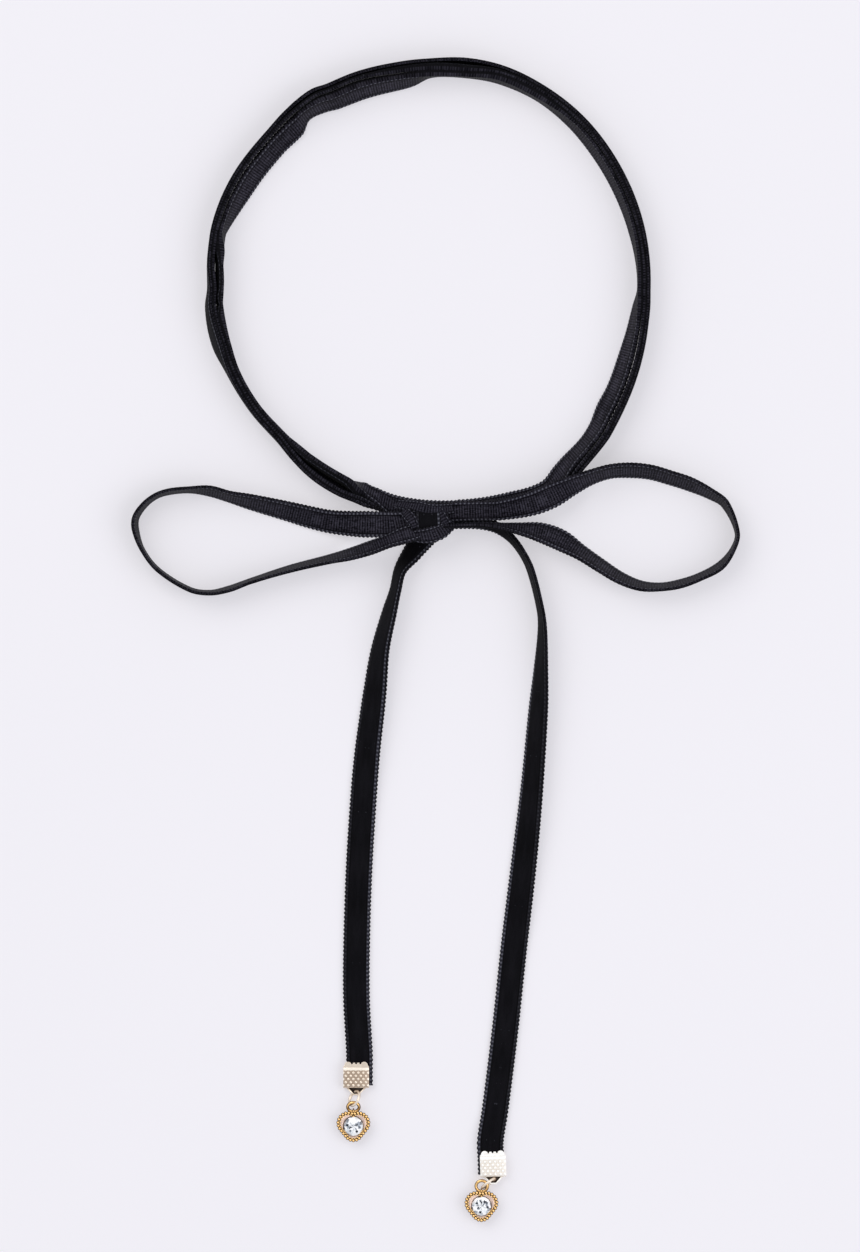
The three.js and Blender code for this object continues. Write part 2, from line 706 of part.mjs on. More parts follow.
/** Places of the beads: equally spaced along the heart's outline, one of them on the tip. */
function beadPlaces() {
  const outline = [];
  const fine = 720;
  for (let i = 0; i <= fine; i += 1) {
    const angle = -Math.PI / 2 + (2 * Math.PI * i) / fine;
    const reach = heartReach(angle, 0);
    outline.push(new THREE.Vector2(reach * Math.cos(angle), reach * Math.sin(angle)));
  }
  const runs = [0];
  outline.slice(1).forEach((point, i) => runs.push(runs[i] + point.distanceTo(outline[i])));
  const places = [];
  for (let bead = 0; bead < BEAD_COUNT; bead += 1) {
    const run = (runs.at(-1) * bead) / BEAD_COUNT;
    places.push(outline[runs.findIndex((length) => length >= run)]);
  }
  return places;
}

/** Ring of the heart at a height, from its outline to a circle: round is 0 for the heart, 1 for a circle. */
function heartRing(z, reach) {
  const ring = [];
  for (let i = 0; i < HEART_SIDES; i += 1) {
    const angle = Math.PI / 2 + (2 * Math.PI * i) / HEART_SIDES;
    const distance = reach(angle);
    ring.push(new THREE.Vector3(distance * Math.cos(angle), distance * Math.sin(angle), z));
  }
  return ring;
}

/** Beaded heart with a cup for the stone and a lug at its notch, soldered into one. */
function heart() {
  const cup = STONE_RADIUS + STONE_GAP;
  const depth = STONE_GIRDLE - HEART_FLOOR - STONE_GAP;
  const tip = STONE_RADIUS - depth * (STONE_RADIUS / pavilionDepth());
  const body = loft([
    heartRing(0, (angle) => heartReach(angle, HEART_RIM - 0.35)),
    heartRing(0.35, (angle) => heartReach(angle, HEART_RIM)),
    heartRing(HEART_HEIGHT - 0.3, (angle) => heartReach(angle, HEART_RIM)),
    heartRing(HEART_HEIGHT, (angle) => heartReach(angle, -0.05)),
    heartRing(HEART_HEIGHT, (angle) => heartReach(angle, -0.22)),
    heartRing(STONE_GIRDLE - 0.1, () => cup + 0.08),
    heartRing(STONE_GIRDLE - 0.25, () => cup),
    heartRing(HEART_FLOOR + 0.1, () => Math.max(tip, 0.3) + STONE_GAP),
  ]);
  const parts = [body];
  for (const place of beadPlaces()) {
    const bead = new THREE.SphereGeometry(BEAD_RADIUS, 7, 5);
    bead.rotateX(Math.PI / 2);
    bead.translate(place.x, place.y, STONE_GIRDLE);
    parts.push(bead);
  }
  const centre = new THREE.Vector3(0, LUG_REACH, LUG_RISE);
  const [ahead, up] = [new THREE.Vector3(0, 1, 0), new THREE.Vector3(0, 0, 1)];
  parts.push(wireRing(centre, LUG_RADIUS, LUG_WIRE, ahead, up, 12, 6));
  const post = new THREE.BoxGeometry(0.5, 0.9, 0.8);
  post.translate(0, LUG_REACH - LUG_RADIUS - 0.45, LUG_RISE);
  parts.push(post);
  return toGeometry(join(parts));
}

/** How far the stone's point lies under its girdle. */
function pavilionDepth() {
  return STONE_RADIUS * 0.62;
}

/** Round stone: table, eight kites, star and girdle facets over the girdle, eight mains under it. */
function stone() {
  const points = [];
  const add = (radius, degrees, z) => {
    const angle = radians(degrees);
    points.push(new THREE.Vector3(radius * Math.cos(angle), radius * Math.sin(angle), z));
  };
  const table = STONE_RADIUS * 0.55;
  const crown = STONE_GIRDLE + 1;
  const girdle = 0.06;
  const eighth = radians(22.5);
  const middle = STONE_RADIUS * 0.82;
  const fall = (middle * Math.cos(eighth) - table) / (STONE_RADIUS - table);
  const low = STONE_RADIUS * 0.5;
  const depth = pavilionDepth();
  for (let i = 0; i < 8; i += 1) {
    add(table, 45 * i, crown);
    add(middle, 45 * i + 22.5, crown - fall * (crown - STONE_GIRDLE - girdle));
    for (const half of [0, 22.5]) {
      add(STONE_RADIUS, 45 * i + half, STONE_GIRDLE + girdle);
      add(STONE_RADIUS, 45 * i + half, STONE_GIRDLE - girdle);
    }
    const share = (low * Math.cos(eighth)) / STONE_RADIUS;
    add(low, 45 * i + 22.5, STONE_GIRDLE - girdle - (1 - share) * (depth - girdle));
  }
  points.push(new THREE.Vector3(0, 0, STONE_GIRDLE - depth));
  return toGeometry(toSolid(new ConvexGeometry(points)));
}

/** Two directions that span a ring's plane: one with a heading and a climb, one turned about it. */
function ringPlane({ heading, climb, tilt }) {
  const level = new THREE.Vector3(Math.sin(radians(heading)), -Math.cos(radians(heading)), 0);
  const first = new THREE.Vector3(-level.y, level.x, 0).multiplyScalar(Math.cos(radians(climb)));
  first.z = Math.sin(radians(climb));
  return [first, level.applyAxisAngle(first, radians(tilt))];
}

/**
 * Crimp, jump ring, bail, heart and stone of one free end, in the crimp's frame.
 * lug: where the heart's lug is. heartTurn, bailTurn: their turns from straight down, degrees.
 * bailRise: how steeply the bail stands. ring: middle, heading, climb and tilt of the jump ring,
 * which stands on the floor.
 */
function charm(side, { lug, heartTurn, bailTurn, bailRise, ring }) {
  const eye = new THREE.Vector3(lug[0], lug[1], LUG_RISE);
  const across = new THREE.Vector3(Math.cos(radians(bailTurn)), Math.sin(radians(bailTurn)), 0);
  const ahead = new THREE.Vector3(-across.y, across.x, 0).multiplyScalar(Math.cos(radians(bailRise)));
  ahead.z = Math.sin(radians(bailRise));
  const bailCentre = eye.clone().addScaledVector(ahead, BAIL_RADIUS);
  const [first, second] = ringPlane(ring);
  const stand = RING_RADIUS * Math.hypot(first.z, second.z) + RING_WIRE;
  const ringCentre = new THREE.Vector3(ring.middle[0], ring.middle[1], stand);
  const settle = (geometry) => {
    geometry.translate(0, -LUG_REACH, 0);
    geometry.rotateZ(radians(heartTurn));
    geometry.translate(eye.x, eye.y, 0);
    return geometry;
  };
  return [
    piece(`crimp_${side}`, crimp(), PALE_GOLD),
    piece(
      `jump_ring_${side}`,
      wireRing(ringCentre, RING_RADIUS, RING_WIRE, first, second, 24, 6),
      PALE_GOLD,
    ),
    piece(
      `bail_${side}`,
      wireRing(bailCentre, BAIL_RADIUS, BAIL_WIRE, across, ahead, 24, 6),
      WARM_GOLD,
    ),
    piece(`heart_${side}`, settle(heart()), WARM_GOLD),
    piece(`crystal_${side}`, settle(stone()), CRYSTAL),
  ];
}

/** A free end: the ribbon down from the knot into its crimp, and the charm below. */
function freeEnd(side, form, length, crimpX, turn, offset, start, rim, links) {
  const down = new THREE.Vector2(0, -1);
  const right = new THREE.Vector2(1, 0);
  const rows = lay(form, length, down, right);
  const origin = new THREE.Vector3(KNOT_SIDE + crimpX, -NECK_RADIUS - KNOT_DROP - length, 0);
  const toPlan = (x, y) => {
    const point = new THREE.Vector3(x, y, 0).applyAxisAngle(new THREE.Vector3(0, 0, 1), radians(turn));
    return point.add(origin);
  };
  const lift = (CRIMP_HEIGHT - RIBBON_WALL) / 2 - 0.02;
  for (const y of [2.5, -2, -CRIMP_LENGTH + CRIMP_PLATE + 0.25]) {
    const { x, y: plan } = toPlan(offset, y);
    rows.push({ x, y: plan, lean: 90, gather: 1, lift });
  }
  const cut = new THREE.Vector3(1, 0, 0).applyAxisAngle(new THREE.Vector3(0, 0, 1), radians(turn));
  const meshes = charm(side, links);
  meshes.forEach((mesh) => {
    mesh.geometry.rotateZ(radians(turn));
    mesh.geometry.translate(origin.x, origin.y, 0);
  });
  return [piece(`tail_${side}`, strand(rows, rim, [start, cut]), VELVET), ...meshes];
}

/** The whole necklace, moved so that the origin is under the middle of it, on the floor. */
function choker() {
  const left = new THREE.Vector2(-1, 0);
  const right = new THREE.Vector2(1, 0);
  const up = new THREE.Vector2(0, 1);
  const ahead = new THREE.Vector3(0, 1, 0);
  const wide = new THREE.Vector3(1, 0, 0);
  const group = new THREE.Group();
  group.add(piece('neck_wrap', neckWrap(), VELVET));
  group.add(piece('knot', knot(), VELVET));
  const leftRows = lay(LOOP_LEFT_FORM, LOOP_LEFT, left, up);
  const rightRows = lay(LOOP_RIGHT_FORM, LOOP_RIGHT, right, up);
  group.add(piece('bow_loop_left', strand(leftRows, -1, [ahead, ahead.clone().negate()]), VELVET));
  group.add(piece('bow_loop_right', strand(rightRows, 1, [ahead, ahead.clone().negate()]), VELVET));
  const leftLinks = {
    lug: [-0.74, -13.5],
    heartTurn: 0,
    bailTurn: 0,
    bailRise: 35,
    ring: { middle: [-0.49, -9.88], heading: 268, climb: 32.5, tilt: 51 },
  };
  const rightLinks = {
    lug: [-3.35, -10.95],
    heartTurn: -1.9,
    bailTurn: -5.5,
    bailRise: 18,
    ring: { middle: [-1.36, -8.72], heading: 35, climb: 2, tilt: 80 },
  };
  const leftEnd = freeEnd('left', TAIL_LEFT_FORM, TAIL_LEFT, -19.4, 0, 0.88, wide, 1, leftLinks);
  const rightEnd = freeEnd(
    'right',
    TAIL_RIGHT_FORM,
    TAIL_RIGHT,
    17.4,
    1.9,
    -0.5,
    ahead,
    1,
    rightLinks,
  );
  group.add(...leftEnd, ...rightEnd);
  const box = new THREE.Box3().setFromObject(group);
  const middle = box.getCenter(new THREE.Vector3());
  group.position.set(-middle.x, -middle.y, -box.min.z);
  return group;
}

export default choker();
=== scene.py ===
"""Velvet ribbon choker with a bow and two heart charms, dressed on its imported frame.

Metres, +Z up, the origin on the floor under the middle of the necklace. Sizes are named in
millimetres, and a mesh is scaled by MM when it is made.
"""

import logging
import math
from collections.abc import Iterable, Sequence
from dataclasses import dataclass, field
from enum import Enum

import bmesh
import bpy
from mathutils import Matrix, Vector


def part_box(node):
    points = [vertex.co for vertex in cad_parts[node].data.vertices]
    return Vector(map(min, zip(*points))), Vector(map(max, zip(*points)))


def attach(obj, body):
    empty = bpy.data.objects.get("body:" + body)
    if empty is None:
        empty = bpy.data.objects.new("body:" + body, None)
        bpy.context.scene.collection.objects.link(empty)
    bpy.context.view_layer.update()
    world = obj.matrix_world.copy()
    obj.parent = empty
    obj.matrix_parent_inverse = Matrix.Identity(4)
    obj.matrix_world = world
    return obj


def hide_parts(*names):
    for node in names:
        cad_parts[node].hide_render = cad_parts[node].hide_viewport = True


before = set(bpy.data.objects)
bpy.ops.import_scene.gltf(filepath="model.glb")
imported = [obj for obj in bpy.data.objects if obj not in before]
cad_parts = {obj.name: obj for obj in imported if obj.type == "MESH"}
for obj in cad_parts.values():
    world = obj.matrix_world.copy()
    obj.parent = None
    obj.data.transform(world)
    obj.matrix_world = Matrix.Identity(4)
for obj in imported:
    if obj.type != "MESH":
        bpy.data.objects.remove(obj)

MM = 0.001
# The photograph's size in pixels, a pixel's size, and what it is centred on
PHOTO_PIXELS = (860, 1252)
PHOTO_PIXEL = 0.27
PHOTO_CENTRE = (-1.54, 3.58)
# Middle of the neck loop, from the middle of the whole necklace
ORIGIN = Vector((-1.2717437744140625, 94.83670234680176, 0))
UP = Vector((0, 0, 1))
NECK_RADIUS = 58.0
SELVAGE_PITCH = 1.13
DOT_COLUMN, DOT_ROW, DOT_ROWS = 1.36, 0.85, 5
MERGE = 1e-7

Triple = tuple[float, float, float]
Colour = Triple
Feed = "Value | bpy.types.NodeSocket | float | Sequence[float]"
log = logging.getLogger("choker")


class Side(Enum):
    """The two ends of the necklace, as the camera sees them."""

    LEFT = "left"
    RIGHT = "right"


class Upward(Enum):
    """The face of the ribbon that lies on the side of a section's facing vector."""

    VELVET = 1.0
    SATIN = -1.0


# Node graphs


@dataclass
class Value:
    """A number in a node graph. Arithmetic on it adds Math nodes."""

    graph: "Graph"
    socket: bpy.types.NodeSocket

    def __add__(self, other: Feed) -> "Value":
        """This plus the other."""
        return self.graph.math("ADD", self, other)

    def __radd__(self, other: Feed) -> "Value":
        """The other plus this."""
        return self.graph.math("ADD", other, self)

    def __sub__(self, other: Feed) -> "Value":
        """This less the other."""
        return self.graph.math("SUBTRACT", self, other)

    def __rsub__(self, other: Feed) -> "Value":
        """The other less this."""
        return self.graph.math("SUBTRACT", other, self)

    def __mul__(self, other: Feed) -> "Value":
        """This times the other."""
        return self.graph.math("MULTIPLY", self, other)

    def __rmul__(self, other: Feed) -> "Value":
        """The other times this."""
        return self.graph.math("MULTIPLY", other, self)

    def __truediv__(self, other: Feed) -> "Value":
        """This divided by the other."""
        return self.graph.math("DIVIDE", self, other)

    def __mod__(self, other: Feed) -> "Value":
        """This modulo the other, from 0 up."""
        return self.graph.math("FLOORED_MODULO", self, other)

    def sine(self) -> "Value":
        """Sine, in radians."""
        return self.graph.math("SINE", self)

    def floor(self) -> "Value":
        """Whole part."""
        return self.graph.math("FLOOR", self)

    def size(self) -> "Value":
        """Value without its sign."""
        return self.graph.math("ABSOLUTE", self)

    def ease(self, low: float, high: float) -> "Value":
        """Smooth rise from 0 at low to 1 at high, or a fall where low is above high.

        Args:
            low: Where it starts.
            high: Where it ends.

        Returns:
            The eased value.
        """
        settings = {"interpolation_type": "SMOOTHSTEP"}
        ends = (low, high, 0.0, 1.0) if low < high else (high, low, 1.0, 0.0)
        names = ("From Min", "From Max", "To Min", "To Max")
        inputs = {"Value": self, **dict(zip(names, ends))}
        node = self.graph.add("ShaderNodeMapRange", settings, inputs)
        return Value(self.graph, node.outputs["Result"])


@dataclass
class Graph:
    """A node tree while it is built, of a material, the world or Geometry Nodes."""

    tree: bpy.types.NodeTree

    def add(
        self, kind: str, settings: dict | None = None, inputs: dict | None = None
    ) -> bpy.types.Node:
        """Adds one node.

        Args:
            kind: Blender's name of the node's type.
            settings: Properties, set first. stops is a ramp's places and colours.
            inputs: Values or links, by socket name or number.

        Returns:
            The node.
        """
        node = self.tree.nodes.new(kind)
        for name, value in (settings or {}).items():
            if name == "stops":
                self._ramp(node, value)
            else:
                setattr(node, name, value)
        for key, value in (inputs or {}).items():
            self.feed(node.inputs[key], value)
        return node

    def _ramp(self, node: bpy.types.Node, stops: Sequence[tuple[float, Colour]]) -> None:
        """Sets a colour ramp's stops.

        Args:
            node: The ramp's node.
            stops: Place and colour of each stop, in order.
        """
        elements = node.color_ramp.elements
        while len(elements) < len(stops):
            elements.new(1.0)
        for element, (place, colour) in zip(elements, stops):
            element.position = place
            element.color = (*colour, 1.0)

    def feed(self, socket: bpy.types.NodeSocket, value: Feed) -> None:
        """Links a socket to a value, or sets its own.

        Args:
            socket: The input.
            value: A Value, another node's output, or a plain value.
        """
        if isinstance(value, Value):
            value = value.socket
        if isinstance(value, bpy.types.NodeSocket):
            self.tree.links.new(value, socket)
        elif socket.type == "RGBA" and not isinstance(value, (int, float)) and len(value) == 3:
            socket.default_value = (*value, 1.0)
        else:
            socket.default_value = value

    def math(self, operation: str, *values: Feed) -> Value:
        """One Math node on values.

        Args:
            operation: The node's operation.
            values: Its inputs in order.

        Returns:
            Its result.
        """
        node = self.add("ShaderNodeMath", {"operation": operation}, dict(enumerate(values)))
        return Value(self, node.outputs[0])

    def vector(self, operation: str, *values: Feed) -> bpy.types.NodeSocket:
        """One Vector Math node on vectors.

        Args:
            operation: The node's operation.
            values: Its inputs in order. The last one of a scaling is the number.

        Returns:
            Its vector.
        """
        slots = [0, 3] if operation == "SCALE" else range(len(values))
        inputs = dict(zip(slots, values))
        return self.add("ShaderNodeVectorMath", {"operation": operation}, inputs).outputs[0]

    def combine(self, x: Feed, y: Feed, z: Feed) -> bpy.types.NodeSocket:
        """A vector from three numbers."""
        return self.add("ShaderNodeCombineXYZ", {}, {0: x, 1: y, 2: z}).outputs[0]

    def separate(self, vector: Feed) -> tuple[Value, Value, Value]:
        """The three numbers of a vector."""
        node = self.add("ShaderNodeSeparateXYZ", {}, {0: vector})
        return tuple(Value(self, socket) for socket in node.outputs)

    def blend(self, share: Feed, first: Feed, second: Feed) -> bpy.types.NodeSocket:
        """A colour between two.

        Args:
            share: 0 for the first, 1 for the second.
            first: A colour.
            second: A colour.

        Returns:
            The blended colour.
        """
        settings = {"data_type": "RGBA", "blend_type": "MIX"}
        return self.add("ShaderNodeMix", settings, {0: share, 6: first, 7: second}).outputs[2]

    def noise(self, place: Feed, scale: float, detail: float = 2.0) -> Value:
        """Soft noise of 0 to 1.

        Args:
            place: Where it is read.
            scale: Features in a unit of place.
            detail: Octaves.

        Returns:
            The noise.
        """
        inputs = {"Vector": place, "Scale": scale, "Detail": detail}
        return Value(self, self.add("ShaderNodeTexNoise", {}, inputs).outputs[0])


# Finishes


@dataclass(frozen=True)
class Finish:
    """What every finish has: a name and the numbers that are the same all over."""

    name: str
    roughness: float = 0.5
    metallic: float = 0.0
    sheen: float = 0.0
    coat: float = 0.0
    specular: float = 0.5

    def material(self) -> bpy.types.Material:
        """Makes the material.

        Returns:
            The material, with this finish's nodes.
        """
        made = bpy.data.materials.new(self.name)
        made.use_nodes = True
        made.node_tree.nodes.clear()
        graph = Graph(made.node_tree)
        inputs = {
            "Roughness": self.roughness,
            "Metallic": self.metallic,
            "Coat Weight": self.coat,
            "Sheen Weight": self.sheen,
            "Sheen Roughness": 0.45,
            "Specular IOR Level": self.specular,
        }
        shader = graph.add("ShaderNodeBsdfPrincipled", {}, inputs)
        output = graph.add("ShaderNodeOutputMaterial")
        graph.feed(output.inputs["Surface"], shader.outputs[0])
        self.paint(graph, shader)
        return made

    def paint(self, graph: Graph, shader: bpy.types.Node) -> None:
        """Adds what varies over the surface.

        Args:
            graph: The material's graph.
            shader: Its shader.
        """
        raise NotImplementedError

    def relief(self, graph: Graph, shader: bpy.types.Node, height: Value, depth: float) -> None:
        """Bumps the surface.

        Args:
            graph: The material's graph.
            shader: Its shader.
            height: 0 to 1 over the surface.
            depth: Height of 1, in millimetres.
        """
        bump = graph.add("ShaderNodeBump", {}, {"Distance": depth * MM, "Height": height})
        graph.feed(shader.inputs["Normal"], bump.outputs[0])


@dataclass(frozen=True)
class Cloth(Finish):
    """What both faces of the ribbon share: run and across, from its UV map, in millimetres."""

    ground: Colour = (0.01, 0.01, 0.01)
    lit: Colour = (0.02, 0.02, 0.02)
    band: Colour = (0.04, 0.04, 0.05)
    stitch: Colour = (0.2, 0.2, 0.22)

    # Woven edge, from the ribbon's middle: where each mark is, and how it fades in or out
    BAND_IN, BAND_OUT = (2.58, 2.72), (3.4, 3.25)
    GROOVE, GROOVE_FADE = 2.5, (0.18, 0.04)
    STITCHES, STITCH_FADE = 3.0, (0.34, 0.16)

    def place(self, graph: Graph) -> tuple[Value, Value, Value]:
        """Distance along the ribbon, distance from its middle, and 1 on its brighter side."""
        run, across, _ = graph.separate(graph.add("ShaderNodeUVMap", {"uv_map": "UVMap"}).outputs[0])
        return run / MM, (across / MM).size(), (across / MM).ease(-1.0, 1.0)

    def selvage(self, run: Value, off: Value) -> tuple[Value, Value, Value]:
        """Masks of the woven edge.

        Args:
            run: Distance along the ribbon.
            off: Distance from its middle.

        Returns:
            The band, the groove inside it, and the stitches in it.
        """
        band = off.ease(*self.BAND_IN) * off.ease(*self.BAND_OUT)
        groove = (off - self.GROOVE).size().ease(*self.GROOVE_FADE)
        thread = (run * (2 * math.pi / SELVAGE_PITCH)).sine().ease(-0.1, 0.6)
        stitches = thread * (off - self.STITCHES).size().ease(*self.STITCH_FADE)
        return band, groove, stitches


@dataclass(frozen=True)
class Satin(Cloth):
    """Back of the velvet ribbon: fine ribs across it, with a slight gleam."""

    rib: float = 0.72

    def paint(self, graph: Graph, shader: bpy.types.Node) -> None:
        """Ribs across, threads along, the woven edges, and painted shade on the sides and edges.

        Args:
            graph: The material's graph.
            shader: Its shader.
        """
        run, off, _ = self.place(graph)
        ribs = (run * (2 * math.pi / self.rib)).sine() * 0.5 + 0.5
        threads = graph.noise(graph.combine(run * 0.3, off * 3.2, 0.0), 1.0, 1.0)
        cloud = graph.noise(graph.combine(run * 0.09, off * 0.3, 3.0), 1.0, 2.0)
        speck = graph.noise(graph.combine(run * 1.7, off * 1.9, 7.0), 1.0, 1.0)
        band, groove, stitches = self.selvage(run, off)
        _, _, up = graph.separate(graph.add("ShaderNodeNewGeometry").outputs["Normal"])
        shade = (ribs * 0.42 + threads * 0.75 + cloud * 0.5 + speck * 1.1 - 1.0).ease(0.0, 1.0)
        # Painted shade: darker where the face turns away from upright, and darker towards the edges.
        shade = shade * (up.size().ease(0.0, 0.45) * 0.85 + 0.15) * (1.0 - off.ease(0.9, 2.5) * 0.45)
        colour = graph.blend(shade, self.ground, self.lit)
        colour = graph.blend(band * 0.7, colour, self.band)
        colour = graph.blend(stitches * 0.9, colour, self.stitch)
        colour = graph.blend(groove * 0.85, colour, tuple(c * 0.3 for c in self.ground))
        graph.feed(shader.inputs["Base Color"], colour)
        graph.feed(shader.inputs["Roughness"], speck * 0.12 + cloud * 0.1 + (self.roughness - 0.1))
        height = ribs * 0.5 + threads * 0.4 + speck * 0.3 + stitches * 0.5 - groove * 0.9
        self.relief(graph, shader, height, 0.09)


@dataclass(frozen=True)
class Velvet(Cloth):
    """Pile of the ribbon: deep black, with a few specks of lint and a flat woven edge."""

    def paint(self, graph: Graph, shader: bpy.types.Node) -> None:
        """Brushed pile, lint, and the woven edges.

        Args:
            graph: The material's graph.
            shader: Its shader.
        """
        run, off, bright = self.place(graph)
        brushed = graph.noise(graph.combine(run * 0.12, off * 0.45, 1.0), 1.0, 3.0)
        pile = graph.noise(graph.combine(run * 5.0, off * 5.0, 5.0), 1.0, 2.0)
        dust = graph.noise(graph.combine(run * 1.1, off * 1.3, 9.0), 1.0, 1.0)
        band, groove, stitches = self.selvage(run, off)
        shade = (brushed * 0.7 + pile * 0.6 - 0.25).ease(0.0, 1.0)
        colour = graph.blend(shade, self.ground, self.lit)
        lint = dust.ease(0.72, 0.8) * pile.ease(0.45, 0.6)
        colour = graph.blend(lint * 0.6, colour, self.stitch)
        edge = bright * 0.8 + 0.2
        colour = graph.blend(band * edge, colour, self.band)
        colour = graph.blend(stitches * edge * 0.7, colour, self.stitch)
        colour = graph.blend(groove * 0.7, colour, tuple(c * 0.4 for c in self.ground))
        graph.feed(shader.inputs["Base Color"], colour)
        graph.feed(shader.inputs["Roughness"], 1.0 - band * 0.35 - pile * 0.1)
        self.relief(graph, shader, pile * 0.8 + brushed * 0.4 + stitches * 0.5 - groove, 0.09)


@dataclass(frozen=True)
class Gold(Finish):
    """Plated metal: polished, with a faint ripple, painted shade in hollows and on its sides, and a
    painted glow.
    """

    # Lit and shaded tones; the blend between them carries a wandering tone and painted shade
    bright: Colour = (0.9, 0.75, 0.5)
    deep: Colour = (0.5, 0.35, 0.2)
    grain: float = 1.4
    # Strength of a painted glow
    glow: float = 0.0
    # Upright share of the normal below which painted shade darkens the sides
    side_shade: float = 0.1

    def paint(self, graph: Graph, shader: bpy.types.Node) -> None:
        """Tone and gloss that wander over the plating, with painted shade and a painted glow.

        Args:
            graph: The material's graph.
            shader: Its shader.
        """
        place = graph.add("ShaderNodeTexCoord").outputs["Object"]
        wander = graph.noise(place, self.grain / MM, 2.0)
        fine = graph.noise(place, 9.0 / MM, 1.0)
        # Painted light: brighter on sharp edges, painted shade in hollows.
        hollow = graph.add("ShaderNodeNewGeometry").outputs["Pointiness"]
        edge_light_hollow_shade = Value(graph, hollow).ease(0.46, 0.54)
        # Painted shade: the plating darkens where its surface turns away from upright.
        _, _, up = graph.separate(graph.add("ShaderNodeNewGeometry").outputs["Normal"])
        shade = (wander * 0.5 + edge_light_hollow_shade * 0.75 - 0.1).ease(0.05, 0.95) * up.size().ease(self.side_shade, 0.9)
        colour = graph.blend(self.tone(graph, shade), self.deep, self.bright)
        graph.feed(shader.inputs["Base Color"], colour)
        # Painted light: the plating glows in its own colour.
        graph.feed(shader.inputs["Emission Color"], colour)
        shader.inputs["Emission Strength"].default_value = self.glow
        graph.feed(shader.inputs["Roughness"], wander * 0.14 + fine * 0.08 + (self.roughness - 0.1))
        self.relief(graph, shader, wander * 0.8 + fine * 0.2, 0.035)

    def tone(self, graph: Graph, shade: Value) -> Value:
        """Share of the bright tone."""
        return shade


@dataclass(frozen=True)
class Stamped(Gold):
    """Plated metal with staggered raised dots and a ring of painted shade round each, from its UV map.
    """

    # Strength of the painted shade round each dot
    ring: float = 0.8

    def tone(self, graph: Graph, shade: Value) -> Value:
        """Painted shade round and between the dots.

        Args:
            graph: The material's graph.
            shade: The share on plain plating.

        Returns:
            The share on the dotted plate.
        """
        u, v, _ = graph.separate(graph.add("ShaderNodeUVMap", {"uv_map": "UVMap"}).outputs[0])
        line = v / (DOT_ROW * MM) + 0.5
        row = line.floor()
        across = u / (DOT_COLUMN * MM) + (row % 2.0) * 0.5
        x = (across % 1.0 - 0.5) * DOT_COLUMN
        y = (line - row - 0.5) * DOT_ROW
        away = graph.math("SQRT", x * x + y * y)
        zone = line.ease(-0.3, 0.0) * line.ease(DOT_ROWS + 0.4, DOT_ROWS + 0.1)
        # Painted shade outside the middle of each dot.
        return shade * (1.0 - away.ease(0.24, 0.4) * zone * self.ring)


@dataclass(frozen=True)
class Shadowed(Finish):
    """Painted shadow and dark reflection under the crimp, seen through its tab."""

    deep: Colour = (0.006, 0.004, 0.003)
    brown: Colour = (0.05, 0.028, 0.014)

    def paint(self, graph: Graph, shader: bpy.types.Node) -> None:
        """Brown black painted shadow that varies a little.

        Args:
            graph: The material's graph.
            shader: Its shader.
        """
        place = graph.add("ShaderNodeTexCoord").outputs["Object"]
        wander = graph.noise(place, 2.2 / MM, 2.0)
        graph.feed(shader.inputs["Base Color"], graph.blend(wander, self.deep, self.brown))
        self.relief(graph, shader, wander, 0.04)


@dataclass(frozen=True)
class Brilliant(Finish):
    """Clear cut stone: each facet gets a painted reflection, bright and dark side by side, and a
    painted glow.
    """

    centre: Vector = field(default_factory=Vector)
    radius: float = 2.62
    seed: float = 0.0
    # Strength of the painted glow
    sparkle: float = 0.22

    # Facets: rings from the middle out, pairs of sectors round it, and their painted reflection tones
    RINGS, SECTORS = 4.2, 8
    PAINTED_REFLECTIONS = (
        (0.0, (0.025, 0.028, 0.035)),
        (0.17, (0.14, 0.155, 0.18)),
        (0.3, (0.52, 0.56, 0.61)),
        (0.5, (0.9, 0.93, 0.94)),
        (0.75, (1.0, 1.0, 1.0)),
    )

    def paint(self, graph: Graph, shader: bpy.types.Node) -> None:
        """Painted reflections by sector and ring round the stone's middle, and a painted glow.

        Args:
            graph: The material's graph.
            shader: Its shader.
        """
        place = graph.add("ShaderNodeTexCoord").outputs["Object"]
        local = graph.vector("SUBTRACT", place, tuple(self.centre * MM))
        x, y, _ = graph.separate(graph.vector("SCALE", local, 1.0 / (self.radius * MM)))
        reach = graph.math("SQRT", x * x + y * y)
        turn = graph.math("ARCTAN2", y, x) * (self.SECTORS / math.pi)
        kink = (turn * math.pi).sine() * 0.05
        ring = ((reach + kink) * self.RINGS).floor()
        sector = (turn + ring * 0.5).floor()
        inputs = {"Vector": graph.combine(sector, ring, self.seed)}
        toss = graph.add("ShaderNodeTexWhiteNoise", {}, inputs).outputs["Value"]
        ramp = graph.add("ShaderNodeValToRGB", {"stops": self.PAINTED_REFLECTIONS}, {0: toss})
        shine = graph.noise(local, 1.2 / MM, 1.0)
        graph.feed(shader.inputs["Base Color"], ramp.outputs[0])
        graph.feed(shader.inputs["Roughness"], shine * 0.06 + 0.02)
        graph.feed(shader.inputs["Metallic"], Value(graph, toss).ease(0.75, 0.3) * 0.6)
        # Painted light: each facet glows in its painted reflection tone.
        graph.feed(shader.inputs["Emission Color"], ramp.outputs[0])
        shader.inputs["Emission Strength"].default_value = self.sparkle
        self.relief(graph, shader, Value(graph, toss), 0.05)


@dataclass(frozen=True)
class Paper(Finish):
    """Pale sweep of paper under the necklace."""

    tone: Colour = (0.505, 0.493, 0.512)
    glow: float = 0.9

    def paint(self, graph: Graph, shader: bpy.types.Node) -> None:
        """An even tone with the faintest drift.

        Args:
            graph: The material's graph.
            shader: Its shader.
        """
        place = graph.add("ShaderNodeTexCoord").outputs["Object"]
        drift = graph.noise(place, 6.0, 1.0)
        paler = tuple(min(c * 1.015, 1.0) for c in self.tone)
        colour = graph.blend(drift, self.tone, paler)
        graph.feed(shader.inputs["Base Color"], colour)
        graph.feed(shader.inputs["Emission Color"], colour)
        shader.inputs["Emission Strength"].default_value = self.glow


